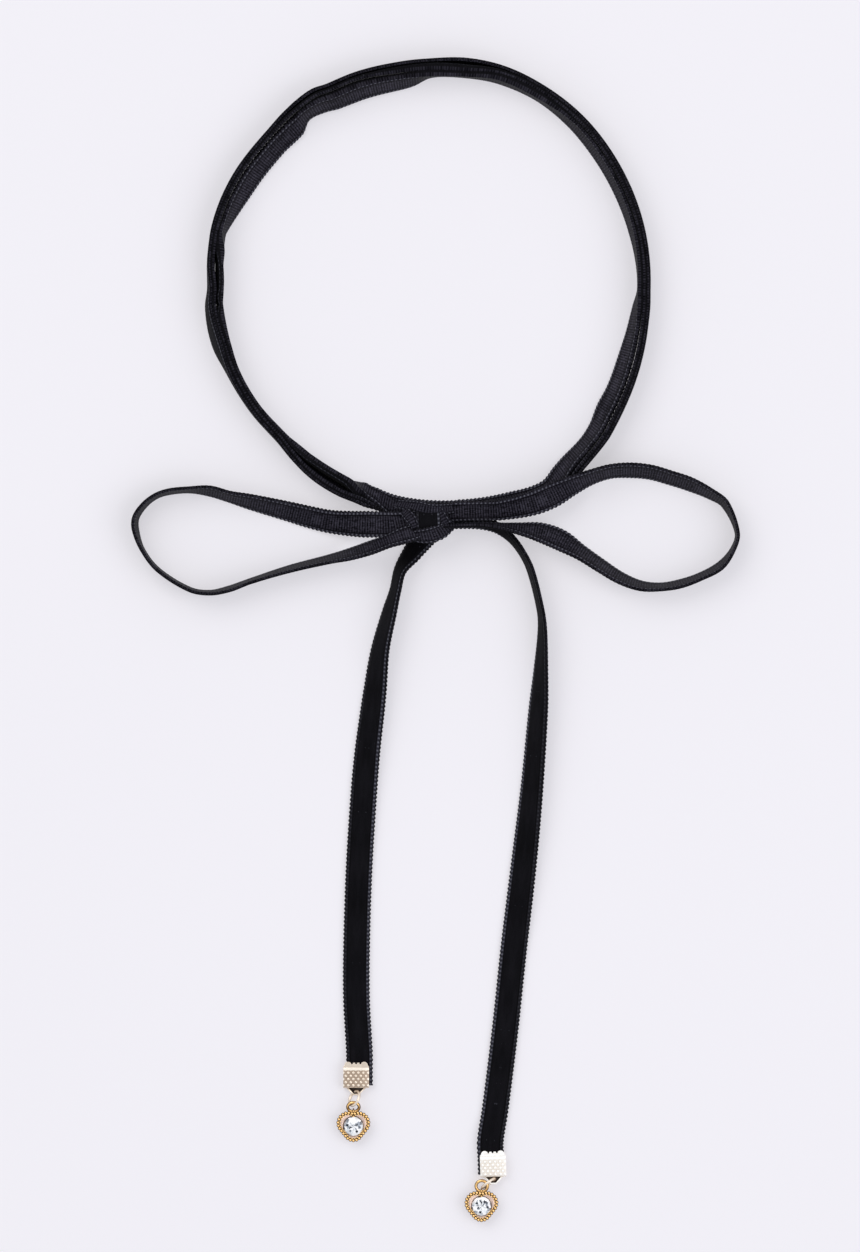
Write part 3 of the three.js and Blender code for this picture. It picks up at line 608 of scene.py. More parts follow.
class Palette:
    """The materials of the necklace, each made once."""

    def __init__(self) -> None:
        """Makes them."""
        self.satin = Satin(
            "satin_back",
            roughness=0.5,
            sheen=0.0,
            specular=0.03,
            ground=(0.0028, 0.0025, 0.004),
            lit=(0.07, 0.065, 0.086),
            band=(0.024, 0.0225, 0.031),
            stitch=(0.125, 0.123, 0.148),
        ).material()
        self.velvet = Velvet(
            "velvet_pile",
            sheen=0.02,
            specular=0.1,
            ground=(0.0012, 0.0011, 0.0016),
            lit=(0.0125, 0.0115, 0.015),
            band=(0.02, 0.0195, 0.027),
            stitch=(0.15, 0.15, 0.18),
        ).material()
        self.pale_gold = Gold(
            "pale_gold_plate",
            roughness=0.3,
            metallic=0.5,
            glow=0.12,
            bright=(0.99, 0.86, 0.7),
            deep=(0.34, 0.2, 0.1),
        ).material()
        self.pale_stamped = Stamped(
            "pale_gold_stamped",
            roughness=0.3,
            metallic=0.3,
            glow=0.27,
            bright=(1.0, 0.9, 0.76),
            deep=(0.2, 0.1, 0.04),
            ring=0.7,
        ).material()
        # Painted light: paler, brighter lit copies of the pale gold, for the right crimp
        self.white_stamped = Stamped(
            "white_gold_stamped",
            roughness=0.36,
            metallic=0.1,
            specular=0.8,
            glow=0.26,
            bright=(1.0, 0.985, 0.94),
            deep=(0.45, 0.33, 0.2),
            ring=0.3,
        ).material()
        self.white_gold = Gold(
            "white_gold_plate",
            roughness=0.36,
            metallic=0.1,
            specular=0.8,
            glow=0.26,
            bright=(1.0, 0.985, 0.94),
            deep=(0.5, 0.37, 0.22),
        ).material()
        self.warm_gold = Gold(
            "warm_gold_plate",
            roughness=0.27,
            metallic=1.0,
            glow=0.32,
            side_shade=0.64,
            bright=(1.0, 0.63, 0.25),
            deep=(0.04, 0.01, 0.002),
        ).material()
        self.rose = Gold(
            "rose_flange",
            roughness=0.34,
            metallic=0.35,
            bright=(0.95, 0.7, 0.57),
            deep=(0.5, 0.3, 0.2),
        ).material()
        self.shadow = Shadowed("crimp_inside", roughness=0.7).material()


# Meshes


def linked(name: str, data: bpy.types.ID) -> bpy.types.Object:
    """Puts a new object with this data into the scene.

    Args:
        name: The object's name.
        data: Its mesh, camera or lamp.

    Returns:
        The object.
    """
    made = bpy.data.objects.new(name, data)
    bpy.context.scene.collection.objects.link(made)
    return made


def scattered(name: str, places: Iterable[Vector]) -> bpy.types.Object:
    """Loose points as an object, in millimetres.

    Args:
        name: The object's name.
        places: The points.

    Returns:
        The object.
    """
    mesh = bpy.data.meshes.new(name)
    mesh.from_pydata([place * MM for place in places], [], [])
    return linked(name, mesh)


def polar(reach: float, angle: float, height: float = 0.0) -> Vector:
    """A point at a distance and an angle, in radians, round the upright axis."""
    return Vector((reach * math.cos(angle), reach * math.sin(angle), height))


def shell(name: str, rings: Sequence[Sequence[Vector]], closed: bool = False) -> bpy.types.Object:
    """A solid through rings of points that all have the same count.

    Args:
        name: The object's name.
        rings: The rings in order, in millimetres.
        closed: Whether the last ring runs into the first.

    Returns:
        The object, its faces turned outward.
    """
    mesh = bmesh.new()
    made = [[mesh.verts.new(point * MM) for point in ring] for ring in rings]
    sides = len(rings[0])
    for i in range(len(made) if closed else len(made) - 1):
        here, there = made[i], made[(i + 1) % len(made)]
        for j in range(sides):
            k = (j + 1) % sides
            mesh.faces.new((here[j], here[k], there[k], there[j]))
    if not closed:
        mesh.faces.new(made[0][::-1])
        mesh.faces.new(made[-1])
    return finish(name, mesh)


def finish(name: str, mesh: bmesh.types.BMesh, smooth: bool = True) -> bpy.types.Object:
    """Makes an object of a mesh in the making.

    Args:
        name: The object's name.
        mesh: The mesh, which is freed.
        smooth: Whether its faces are shaded smooth.

    Returns:
        The object, its faces turned outward.
    """
    bmesh.ops.remove_doubles(mesh, verts=mesh.verts, dist=MERGE)
    bmesh.ops.recalc_face_normals(mesh, faces=mesh.faces)
    for face in mesh.faces:
        face.smooth = smooth
    data = bpy.data.meshes.new(name)
    mesh.to_mesh(data)
    mesh.free()
    return linked(name, data)


def frozen(source: bpy.types.Object, name: str) -> bpy.types.Object:
    """A plain object of what another one's modifiers make, which is then removed.

    Args:
        source: The object with live modifiers.
        name: The new object's name.

    Returns:
        The plain object.
    """
    graph = bpy.context.evaluated_depsgraph_get()
    graph.update()
    data = bpy.data.meshes.new_from_object(source.evaluated_get(graph))
    bpy.data.objects.remove(source)
    data.name = name
    return linked(name, data)


def merged(name: str, parts: Iterable[bpy.types.Object]) -> bpy.types.Object:
    """One object of several, with their materials kept.

    Args:
        name: The object's name.
        parts: The objects, which are removed.

    Returns:
        The joined object.
    """
    mesh = bmesh.new()
    materials: list[bpy.types.Material] = []
    for part in list(parts):
        start = len(mesh.faces)
        mesh.from_mesh(part.data)
        mesh.faces.ensure_lookup_table()
        slots = []
        for material in part.data.materials:
            if material not in materials:
                materials.append(material)
            slots.append(materials.index(material))
        for face in mesh.faces[start:]:
            face.material_index = slots[face.material_index] if slots else 0
        bpy.data.objects.remove(part)
    data = bpy.data.meshes.new(name)
    mesh.to_mesh(data)
    mesh.free()
    for material in materials:
        data.materials.append(material)
    return linked(name, data)


def bevelled(
    source: bpy.types.Object, width: float, segments: int = 2, angle: float = 35.0
) -> bpy.types.Object:
    """The object with its edges rounded.

    Args:
        source: The object, which is removed.
        width: Width of the rounding in millimetres.
        segments: Faces across it.
        angle: Edges sharper than this are rounded, in degrees.

    Returns:
        The rounded object.
    """
    name = source.name
    source.name = name + "_raw"
    bevel = source.modifiers.new("rounding", "BEVEL")
    bevel.width, bevel.segments = width * MM, segments
    bevel.limit_method, bevel.angle_limit = "ANGLE", math.radians(angle)
    bevel.harden_normals = False
    return frozen(source, name)


def dressed(made: bpy.types.Object, material: bpy.types.Material) -> bpy.types.Object:
    """Gives an object one material.

    Args:
        made: The object.
        material: The material.

    Returns:
        The object.
    """
    made.data.materials.clear()
    made.data.materials.append(material)
    return made


def settle(made: bpy.types.Object, slot: str, *nodes: str) -> bpy.types.Object:
    """Puts a piece on the frame.

    Args:
        made: The piece.
        slot: The record's material slot; not used.
        nodes: The frame's nodes that it stands for.

    Returns:
        The piece.
    """
    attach(made, "root")
    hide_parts(*nodes)
    log.info("%s: %d faces", made.name, len(made.data.polygons))
    return made


# Geometry Nodes


@dataclass
class Recipe:
    """A Geometry Nodes tree with named inputs, and how it is run."""

    name: str
    sockets: Sequence[tuple[str, str]]

    def __post_init__(self) -> None:
        """Makes the tree with its sockets."""
        tree = bpy.data.node_groups.new(self.name, "GeometryNodeTree")
        tree.interface.new_socket("Geometry", in_out="INPUT", socket_type="NodeSocketGeometry")
        for name, kind in self.sockets:
            tree.interface.new_socket(name, in_out="INPUT", socket_type="NodeSocket" + kind)
        tree.interface.new_socket("Geometry", in_out="OUTPUT", socket_type="NodeSocketGeometry")
        self.graph = Graph(tree)
        self.given = self.graph.add("NodeGroupInput").outputs
        self.build(self.graph, self.given)

    def build(self, graph: Graph, given: bpy.types.bpy_prop_collection) -> None:
        """Adds the recipe's nodes.

        Args:
            graph: The tree's graph.
            given: Its inputs.
        """
        raise NotImplementedError

    def close(self, shape: bpy.types.NodeSocket, material: bpy.types.NodeSocket) -> None:
        """Realizes the instances, gives the material and ends the tree.

        Args:
            shape: The geometry.
            material: The material of all of it.
        """
        real = self.graph.add("GeometryNodeRealizeInstances", {}, {0: shape}).outputs[0]
        inputs = {"Geometry": real, "Material": material}
        done = self.graph.add("GeometryNodeSetMaterial", {}, inputs).outputs[0]
        self.graph.add("NodeGroupOutput", {}, {0: done})

    def run(self, name: str, source: bpy.types.Object, **values: object) -> bpy.types.Object:
        """Runs the recipe on an object.

        Args:
            name: Name of what it makes.
            source: The object that it starts from, which is removed.
            values: The inputs, by name with _ for a space.

        Returns:
            The plain object.
        """
        modifier = source.modifiers.new(self.name, "NODES")
        modifier.node_group = self.graph.tree
        for item in self.graph.tree.interface.items_tree:
            key = item.name.lower().replace(" ", "_")
            if item.in_out == "INPUT" and key in values:
                modifier[item.identifier] = values[key]
        return frozen(source, name)


class Weave(Recipe):
    """The ribbon: its outline carried along a path, its edges scalloped by the weft's turns."""

    def build(self, graph: Graph, given: bpy.types.bpy_prop_collection) -> None:
        """A grid of path rows by outline points, set in place row by row.

        Args:
            graph: The tree's graph.
            given: Its inputs.
        """
        outline = graph.add("GeometryNodeObjectInfo", {}, {0: given["Outline"]}).outputs["Geometry"]
        rows = graph.add("GeometryNodeAttributeDomainSize", {}, {0: given["Geometry"]}).outputs[0]
        points = graph.add("GeometryNodeAttributeDomainSize", {}, {0: outline}).outputs[0]
        columns = graph.math("ADD", points, 1.0)
        inputs = {"Vertices X": rows, "Vertices Y": columns}
        grid = graph.add("GeometryNodeMeshGrid", {}, inputs).outputs["Mesh"]
        index = graph.math("ADD", graph.add("GeometryNodeInputIndex").outputs[0], 0.5)
        row = (index / columns).floor()
        column = (index - row * columns).floor() % points

        def read(shape: bpy.types.NodeSocket, place: Value, value: object, kind: str) -> Feed:
            """A value of another shape's point, by the point's number.

            Args:
                shape: The other shape.
                place: The point's number.
                value: What is read there.
                kind: Its data type.

            Returns:
                What was read.
            """
            settings = {"data_type": kind, "domain": "POINT"}
            inputs = {"Geometry": shape, "Value": value, "Index": place}
            return graph.add("GeometryNodeSampleIndex", settings, inputs).outputs[0]

        def named(name: str, kind: str) -> bpy.types.NodeSocket:
            """An attribute of the path."""
            settings = {"data_type": kind}
            return graph.add("GeometryNodeInputNamedAttribute", settings, {"Name": name}).outputs[0]

        path = given["Geometry"]
        position = graph.add("GeometryNodeInputPosition").outputs[0]
        middle = read(path, row, position, "FLOAT_VECTOR")
        widthways = read(path, row, named("widthways", "FLOAT_VECTOR"), "FLOAT_VECTOR")
        facing = read(path, row, named("facing", "FLOAT_VECTOR"), "FLOAT_VECTOR")
        run = Value(graph, read(path, row, named("run", "FLOAT"), "FLOAT"))
        u, v, rim = graph.separate(read(outline, column, position, "FLOAT_VECTOR"))

        turns = (run * math.pi / Value(graph, given["Pitch"])).sine().size()
        scallop = (turns - 0.5) * Value(graph, given["Scallop"]) * rim
        out = graph.vector("SCALE", graph.vector("NORMALIZE", widthways), scallop)
        place = graph.vector("ADD", middle, graph.vector("SCALE", widthways, u))
        place = graph.vector("ADD", place, graph.vector("SCALE", facing, v))
        place = graph.vector("ADD", place, out)
        placed = graph.add("GeometryNodeSetPosition", {}, {"Geometry": grid, "Position": place})

        settings = {"data_type": "FLOAT_VECTOR", "domain": "POINT"}
        flat = graph.combine(run, u * Value(graph, given["Half Width"]), v)
        flat = graph.add("GeometryNodeFieldOnDomain", settings, {0: flat}).outputs[0]
        settings = {"data_type": "FLOAT2", "domain": "CORNER"}
        inputs = {"Geometry": placed.outputs[0], "Name": "UVMap", "Value": flat}
        mapped = graph.add("GeometryNodeStoreNamedAttribute", settings, inputs).outputs[0]
        smooth = graph.add("GeometryNodeSetShadeSmooth", {}, {"Geometry": mapped}).outputs[0]
        real = graph.add("GeometryNodeRealizeInstances", {}, {0: smooth}).outputs[0]
        _, _, side = graph.separate(flat)
        inputs = {"Geometry": real, "Material": given["Pile"]}
        piled = graph.add("GeometryNodeSetMaterial", {}, inputs).outputs[0]
        back = graph.math("LESS_THAN", side, 0.0)
        inputs = {"Geometry": piled, "Selection": back, "Material": given["Back"]}
        done = graph.add("GeometryNodeSetMaterial", {}, inputs).outputs[0]
        graph.add("NodeGroupOutput", {}, {0: done})


class Studs(Recipe):
    """Small domes on the points of a mesh: a heart's beads and the dots on a crimp."""

    SIDES, RINGS = 16, 10

    def build(self, graph: Graph, given: bpy.types.bpy_prop_collection) -> None:
        """One ball on each point, flattened by its rise.

        Args:
            graph: The tree's graph.
            given: Its inputs.
        """
        inputs = {"Segments": self.SIDES, "Rings": self.RINGS, "Radius": given["Radius"]}
        ball = graph.add("GeometryNodeMeshUVSphere", {}, inputs).outputs[0]
        ball = graph.add("GeometryNodeSetShadeSmooth", {}, {"Geometry": ball}).outputs[0]
        scale = graph.combine(1.0, 1.0, given["Rise"])
        inputs = {"Points": given["Geometry"], "Instance": ball, "Scale": scale}
        studs = graph.add("GeometryNodeInstanceOnPoints", {}, inputs).outputs[0]
        self.close(studs, given["Material"])


# Ribbon


@dataclass(frozen=True)
class Rows:
    """A table of named columns, read on a smooth curve through its rows."""

    columns: tuple[str, ...]
    rows: tuple[tuple[float, ...], ...]

    def at(self, place: float) -> dict[str, float]:
        """All columns where the first one has a value.

        Args:
            place: The first column's value.

        Returns:
            The columns by name.
        """
        rows, last = self.rows, len(self.rows) - 1
        rising = 1 if rows[last][0] > rows[0][0] else -1
        i = 0
        while i < last - 1 and (place - rows[i + 1][0]) * rising > 0:
            i += 1
        span = rows[i + 1][0] - rows[i][0]
        u = (place - rows[i][0]) / span
        rise = u * u * (3 - 2 * u)
        found = {}
        for k, name in enumerate(self.columns):
            slopes = []
            for j in (i, i + 1):
                before, after = rows[max(j - 1, 0)], rows[min(j + 1, last)]
                slopes.append((after[k] - before[k]) / (after[0] - before[0]))
            found[name] = (
                rows[i][k] * (1 - rise)
                + rows[i + 1][k] * rise
                + slopes[0] * span * u * (1 - u) * (1 - u)
                - slopes[1] * span * u * u * (1 - u)
            )
        return found


@dataclass
class Section:
    """One place along the ribbon: its middle, and its half width and half wall as vectors."""

    middle: Vector
    widthways: Vector
    facing: Vector


@dataclass
class Ribbon:
    """The velvet ribbon and how it is cut, woven and laid, in millimetres."""

    palette: Palette
    width: float = 7.0
    wall: float = 1.0
    gap: float = 0.12
    step: float = 0.28
    scallop: float = 0.36

    # Outline: u across, v through the wall with the pile above 0, rim where the weft turns
    OUTLINE = (
        (1.0, 0.0, 1.0),
        (0.995, 0.55, 1.0),
        (0.95, 0.72, 0.4),
        (0.8, 0.7, 0.0),
        (0.745, 0.94, 0.0),
        (0.4, 1.0, 0.0),
        (0.0, 1.0, 0.0),
        (-0.4, 1.0, 0.0),
        (-0.745, 0.94, 0.0),
        (-0.8, 0.7, 0.0),
        (-0.95, 0.72, -0.4),
        (-0.995, 0.55, -1.0),
        (-1.0, 0.0, -1.0),
        (-0.995, -0.8, -1.0),
        (-0.95, -0.98, -0.4),
        (-0.77, -0.9, 0.0),
        (0.0, -0.98, 0.0),
        (0.77, -0.9, 0.0),
        (0.95, -0.98, 0.4),
        (0.995, -0.8, 1.0),
    )

    def __post_init__(self) -> None:
        """Prepares the weave."""
        sockets = (
            ("Outline", "Object"),
            ("Half Width", "Float"),
            ("Pitch", "Float"),
            ("Scallop", "Float"),
            ("Pile", "Material"),
            ("Back", "Material"),
        )
        self.weave = Weave("ribbon_weave", sockets)

    def halves(self, gather: float) -> tuple[float, float]:
        """Half width and half wall where the ribbon is gathered to a share of its width."""
        return self.width * gather / 2, self.wall * (1.4 - 0.4 * gather) / 2

    def section(self, middle: Vector, along: Vector, face: Vector, gather: float) -> Section:
        """A section from its middle, its directions and its gather."""
        width, wall = self.halves(gather)
        return Section(middle, along * width, face * wall)

    def woven(
        self, name: str, sections: Sequence[Section], upward: Upward, edge: float = 1.0
    ) -> bpy.types.Object:
        """Weaves a length of ribbon.

        Args:
            name: The object's name.
            sections: Its sections in order.
            upward: The face on the side of the sections' facing vectors.
            edge: 1 where the brighter selvage is the one that the sections point to, or -1.

        Returns:
            The ribbon, closed at both ends.
        """
        turned = upward.value
        guide = bpy.data.meshes.new(name + "_path")
        guide.from_pydata([(s.middle + ORIGIN) * MM for s in sections], [], [])
        run, runs = 0.0, [0.0]
        for before, after in zip(sections, sections[1:]):
            run += (after.middle - before.middle).length
            runs.append(run)
        attributes = {
            "widthways": ("FLOAT_VECTOR", "vector", [s.widthways * MM for s in sections]),
            "facing": ("FLOAT_VECTOR", "vector", [s.facing * (MM * turned) for s in sections]),
            "run": ("FLOAT", "value", [length * MM for length in runs]),
        }
        for label, (kind, attribute, values) in attributes.items():
            made = guide.attributes.new(label, kind, "POINT")
            flat = values if kind == "FLOAT" else [c for vector in values for c in vector]
            made.data.foreach_set(attribute, flat)
        outline = bpy.data.meshes.new("outline")
        outline.from_pydata(self.OUTLINE, [], [])
        shape = linked("outline", outline)
        woven = self.weave.run(
            name,
            linked(name + "_path", guide),
            outline=shape,
            half_width=edge * self.width / 2 * MM,
            pitch=SELVAGE_PITCH * MM,
            scallop=self.scallop * MM,
            pile=self.palette.velvet,
            back=self.palette.satin,
        )
        bpy.data.objects.remove(shape)
        mesh = bmesh.new()
        mesh.from_mesh(woven.data)
        bmesh.ops.remove_doubles(mesh, verts=mesh.verts, dist=MERGE)
        open_edges = [edge for edge in mesh.edges if edge.is_boundary]
        bmesh.ops.holes_fill(mesh, edges=open_edges, sides=0)
        bmesh.ops.recalc_face_normals(mesh, faces=mesh.faces)
        mesh.to_mesh(woven.data)
        mesh.free()
        return woven


# At each angle round the neck: the outer edge's reach past the radius in ribbon widths, each turn's
# lean in degrees, the room outside the middle and the inner turn in walls, how far the turns lie on
# each other, and the share of its width that the ribbon is gathered to
NECK_FORM = Rows(
    ("at", "reach", "outer", "middle", "inner", "part", "slack", "stack", "gather"),
    (
        (263, 0.68, 84, 84, 84, 0, 0, 1, 0.78),
        (259.5, 0.7, 77, 77, 77, 0, 0, 1, 0.8),
        (256.5, 0.57, 60, 60, 60, 0, 0, 1, 0.66),
        (253, 0.57, 36, 38, 40, 0, 0.1, 0.8, 0.66),
        (250.5, 0.54, 14, 18, 18, 0, 0.9, 0.4, 0.84),
        (248.3, 0.53, 7, 11, 1, 0, 1.1, 0.1, 0.95),
        (246, 0.53, 6, 10, -8, 0, 0.6, 0, 1),
        (238, 0.44, 5, 7, -8, 0.2, 0.5, 0, 1),
        (231, 0.27, 3, 2, -4, 0, 0.6, 0, 1),
        (225, 0.13, -1, -1, -2, 0, 0, 0, 1),
        (215, 0.18, -1, -1, -1, 0, 0, 0, 1),
        (203, 0.29, -5, -4, -1, 0, 0, 0, 1),
        (195, 0.48, -17, -15, -2, 0, 0, 0, 1),
        (185, 0.49, -10, -10, -9, 0, 0.8, 0, 1),
        (180, 0.37, -6, -5, -12, 0, 0, 0, 1),
        (174, 0.41, -1, 0, -11, 0, 0, 0, 1),
        (169, 0.45, 0, 1, -1, 0, 1.0, 0, 1),
        (165, 0.5, 1, 2, 10, 0, 0, 0, 1),
        (157, 0.52, 0, 0, 29, 0, 0, 0, 1),
        (150, 0.51, 0, 0, 38, 0, 0, 0, 1),
        (137, 0.47, 0, 0, 40, 0, 0, 0, 1),
        (130, 0.565, 3, 1, 41, 0, 0.3, 0, 1),
        (126, 0.63, 10, 6, 24, 0, 0.1, 0, 1),
        (121, 0.66, 10, 6, 27, 0, 0.6, 0, 1),
        (117, 0.55, 5, 2, 28, 0, 0.9, 0, 1),
        (110, 0.535, 5, 2, 30, 0, 0.9, 0, 1),
        (100, 0.51, 5, 0, 26, 0.4, 0.5, 0, 1),
        (95, 0.53, 5, 0, 19, 0.5, 0.6, 0, 1),
        (90, 0.56, 5, 0, 2, 0.6, 0.6, 0, 1),
        (81, 0.69, 10, 0, 1, 0.5, 0.4, 0, 1),
        (72, 0.72, 3, 0, 7, 0, 0.7, 0, 1),
        (60, 0.64, 0, 0, 5, 0, 0.8, 0, 1),
        (48, 0.56, 2, 2, 15, 0, 0, 0, 1),
        (35, 0.42, 0, 2, 16, 0, 0, 0, 1),
        (18, 0.285, 0, 1, 12, 0, 0, 0, 1),
        (0, 0.18, 0, 0, 1, 0, 0.3, 0, 1),
        (-5, 0.2, 0, 0, 11, 0, 0.3, 0, 1),
        (-10, 0.22, 0, 0, 19, 0, 0.1, 0, 1),
        (-20, 0.33, 0, 0, 30, 0, 0.1, 0, 1),
        (-30, 0.48, 0, 1, 34, 0, 0, 0, 1),
        (-35, 0.58, 0, 1, 38, 0, 0, 0, 1),
        (-40, 0.71, 0, 2, 32, 0, 0, 0, 1),
        (-45, 0.8, 7, 7, 28, 0, 0, 0.1, 1),
        (-50, 0.91, 20, 20, 31, 0, 0, 0.5, 1),
        (-55, 1.12, 42, 42, 44, 0, 0, 0.9, 1),
        (-60, 1.36, 68, 68, 68, 0, 0, 1, 0.95),
        (-70, 1.02, 76, 76, 76, 0, 0, 1, 0.8),
        (-83, 0.62, 84, 84, 84, 0, 0, 1, 0.62),
    ),
)

# Rows from the knot on: along and across in shares of the strand's size, lean in degrees, the share
# of its width that the ribbon is gathered to, and lift off the table in widths
LOOP_LEFT_ROWS = (
    (0.03, 0.006, 84, 0.55, 0.8),
    (0.06, 0.0, 80, 0.66, 0.8),
    (0.0875, -0.006, 76, 0.8, 0.8),
    (0.128, -0.014, 80, 0.95, 0.84),
    (0.196, -0.015, 80, 1, 0.68),
    (0.264, -0.012, 66, 1, 0.32),
    (0.331, -0.005, 56, 1, 0.08),
    (0.399, 0.01, 51, 1, 0),
    (0.466, 0.028, 44, 1, 0),
    (0.601, 0.062, 31, 1, 0),
    (0.669, 0.079, 21, 1, 0),
    (0.736, 0.098, 19, 1, 0),
    (0.804, 0.102, 9, 1, 0),
    (0.872, 0.096, 8, 1, 0),
    (0.918, 0.081, 7, 1, 0),
    (0.957, 0.051, 8, 1, 0),
    (0.986, 0.008, 9, 1, 0),
    (0.987, -0.034, 9, 1, 0),
    (0.963, -0.101, 3.5, 1, 0),
    (0.91, -0.169, 4, 1, 0),
    (0.804, -0.235, 5, 1, 0),
    (0.736, -0.246, 6, 1, 0),
    (0.669, -0.233, 9, 1, 0),
    (0.601, -0.208, 7.5, 1, 0),
    (0.466, -0.166, 12, 1, 0),
    (0.331, -0.133, 16.5, 1, 0.02),
    (0.264, -0.117, 23.5, 1, 0.25),
    (0.196, -0.096, 28, 1, 0.6),
    (0.128, -0.071, 31, 0.9, 0.98),
    (0.0875, -0.056, 46, 0.8, 1.02),
    (0.055, -0.046, 58, 0.7, 1.04),
    (0.025, -0.036, 68, 0.6, 0.98),
)
LOOP_RIGHT_ROWS = (
    (0.035, 0.02, 84, 0.7, 0.9),
    (0.0833, 0.026, 80, 0.74, 0.8),
    (0.167, 0.029, 72, 0.75, 0.68),
    (0.2315, 0.032, 60, 0.85, 0.78),
    (0.328, 0.0515, 62, 1, 0.84),
    (0.392, 0.0756, 66, 1, 0.84),
    (0.4566, 0.1085, 46, 1, 0.74),
    (0.521, 0.1367, 31, 1, 0.45),
    (0.585, 0.156, 28, 1, 0.2),
    (0.6495, 0.16, 30, 1, 0.05),
    (0.714, 0.154, 29, 1, 0),
    (0.778, 0.136, 28, 1, 0),
    (0.842, 0.115, 27, 1, 0),
    (0.907, 0.0844, 19, 1, 0),
    (0.955, 0.051, 13, 1, 0),
    (0.9936, -0.042, 3.5, 1, 0),
    (0.979, -0.0965, 6, 1, 0),
    (0.939, -0.148, 14, 1, 0),
    (0.8746, -0.183, 13, 1, 0),
    (0.81, -0.206, 15, 1, 0),
    (0.746, -0.216, 14, 1, 0),
    (0.6817, -0.212, 19, 1, 0),
    (0.617, -0.187, 24, 1, 0),
    (0.553, -0.147, 28, 1, 0),
    (0.489, -0.1045, 33, 1, 0.05),
    (0.424, -0.065, 50, 1, 0.25),
    (0.36, -0.041, 44, 1, 0.5),
    (0.296, -0.03, 29, 0.85, 0.72),
    (0.2315, -0.022, 15, 0.7, 0.85),
    (0.167, -0.016, 8, 0.6, 0.9),
    (0.0833, -0.019, 5, 0.55, 0.9),
    (0.04, -0.019, 5, 0.5, 0.85),
)
TAIL_LEFT_ROWS = (
    (0.017, 0.008, 76, 0.9, 0.12),
    (0.0375, -0.0125, 72, 0.9, 0.06),
    (0.06, -0.029, 54, 0.86, 0),
    (0.0923, -0.0515, 28, 0.88, 0),
    (0.1293, -0.0605, 24, 0.9, 0),
    (0.1662, -0.0705, 29, 1, 0),
    (0.24, -0.0886, 40, 1, 0),
    (0.314, -0.0979, 56, 1, 0),
    (0.351, -0.1025, 62, 1, 0),
    (0.425, -0.1117, 70, 1, 0),
    (0.499, -0.1182, 80, 1, 0),
    (0.646, -0.1274, 88, 1, 0),
    (0.794, -0.132, 88, 1, 0),
    (0.886, -0.132, 88, 1, 0),
)
TAIL_RIGHT_ROWS = (
    (0.005, 0.022, 88, 0.4, 0.3),
    (0.0055, 0.0411, 88, 0.4, 0.3),
    (0.0063, 0.0825, 80, 0.4, 0.3),
    (0.0125, 0.1095, 55, 0.45, 0.28),
    (0.0285, 0.1305, 25, 0.55, 0.15),
    (0.05, 0.1475, 14, 0.75, 0.04),
    (0.0793, 0.1621, 11, 1, 0),
    (0.1428, 0.178, 11, 1, 0),
    (0.1745, 0.1809, 15, 1, 0),
    (0.238, 0.1785, 28, 1, 0),
    (0.3015, 0.1745, 42, 1, 0),
    (0.4284, 0.1642, 54, 1, 0),
    (0.5554, 0.1507, 72, 1, 0),
    (0.6823, 0.1357, 88, 1, 0),
    (0.8093, 0.1222, 88, 1, 0),
    (0.9362, 0.1063, 88, 1, 0),
)


@dataclass
class Bow:
    """Where the knot is, from the middle of the neck loop, and how long the loops are."""

    side: float = -0.8
    drop: float = 4.64
    left: float = 80.0
    right: float = 84.0

    @property
    def knot(self) -> Vector:
        """Middle of the knot in the plan."""
        return Vector((self.side, -NECK_RADIUS - self.drop, 0))


@dataclass
class Strand:
    """A free length of ribbon: rows of the plan, lean, gather and lift, in the knot's frame."""

    ribbon: Ribbon
    bow: Bow
    rows: Sequence[Sequence[float]]
    size: float
    along: Vector
    across: Vector
    rim: float
    cuts: tuple[Vector, Vector]
    extra: Sequence[tuple[float, float, float, float, float]] = ()
    cut_reach: float = 1.2
    look: float = 0.1

    def laid(self) -> Rows:
        """The rows as a table over the length run.

        Returns:
            The table.
        """
        width = self.ribbon.width
        points = []
        for along, across, lean, gather, lift in self.rows:
            spot = self.bow.knot + self.along * (along * self.size)
            spot += self.across * (across * self.size)
            points.append((spot.x, spot.y, lean, gather, lift * width))
        points.extend(self.extra)
        run, table = 0.0, []
        for i, point in enumerate(points):
            if i:
                run += math.hypot(point[0] - points[i - 1][0], point[1] - points[i - 1][1])
            table.append((run, *point))
        return Rows(("run", "x", "y", "lean", "gather", "lift"), tuple(table))

    def sections(self) -> list[Section]:
        """The strand's sections, a step apart.

        Returns:
            The sections, from the first row to the last.
        """
        rows = self.laid()
        length = rows.rows[-1][0]
        steps = math.ceil(length / self.ribbon.step)
        made = []
        for i in range(steps + 1):
            place = length * i / steps
            at = rows.at(place)
            ahead = rows.at(min(place + self.look, length))
            behind = rows.at(max(place - self.look, 0))
            out = Vector((behind["y"] - ahead["y"], ahead["x"] - behind["x"], 0)).normalized()
            out *= self.rim
            across = out
            for cut, near in zip(self.cuts, (place, length - place)):
                if near < self.cut_reach:
                    level = cut / cut.dot(out)
                    across = level.lerp(out, near / self.cut_reach)
            lean = math.radians(at["lean"])
            width, wall = self.ribbon.halves(at["gather"])
            half = width * math.cos(lean) + wall * math.sin(lean)
            middle = Vector((at["x"], at["y"], max(at["lift"], 0) + half))
            along = across * math.sin(lean) + UP * math.cos(lean)
            face = across * math.cos(lean) - UP * math.sin(lean)
            made.append(self.ribbon.section(middle, along, face, at["gather"]))
        return made


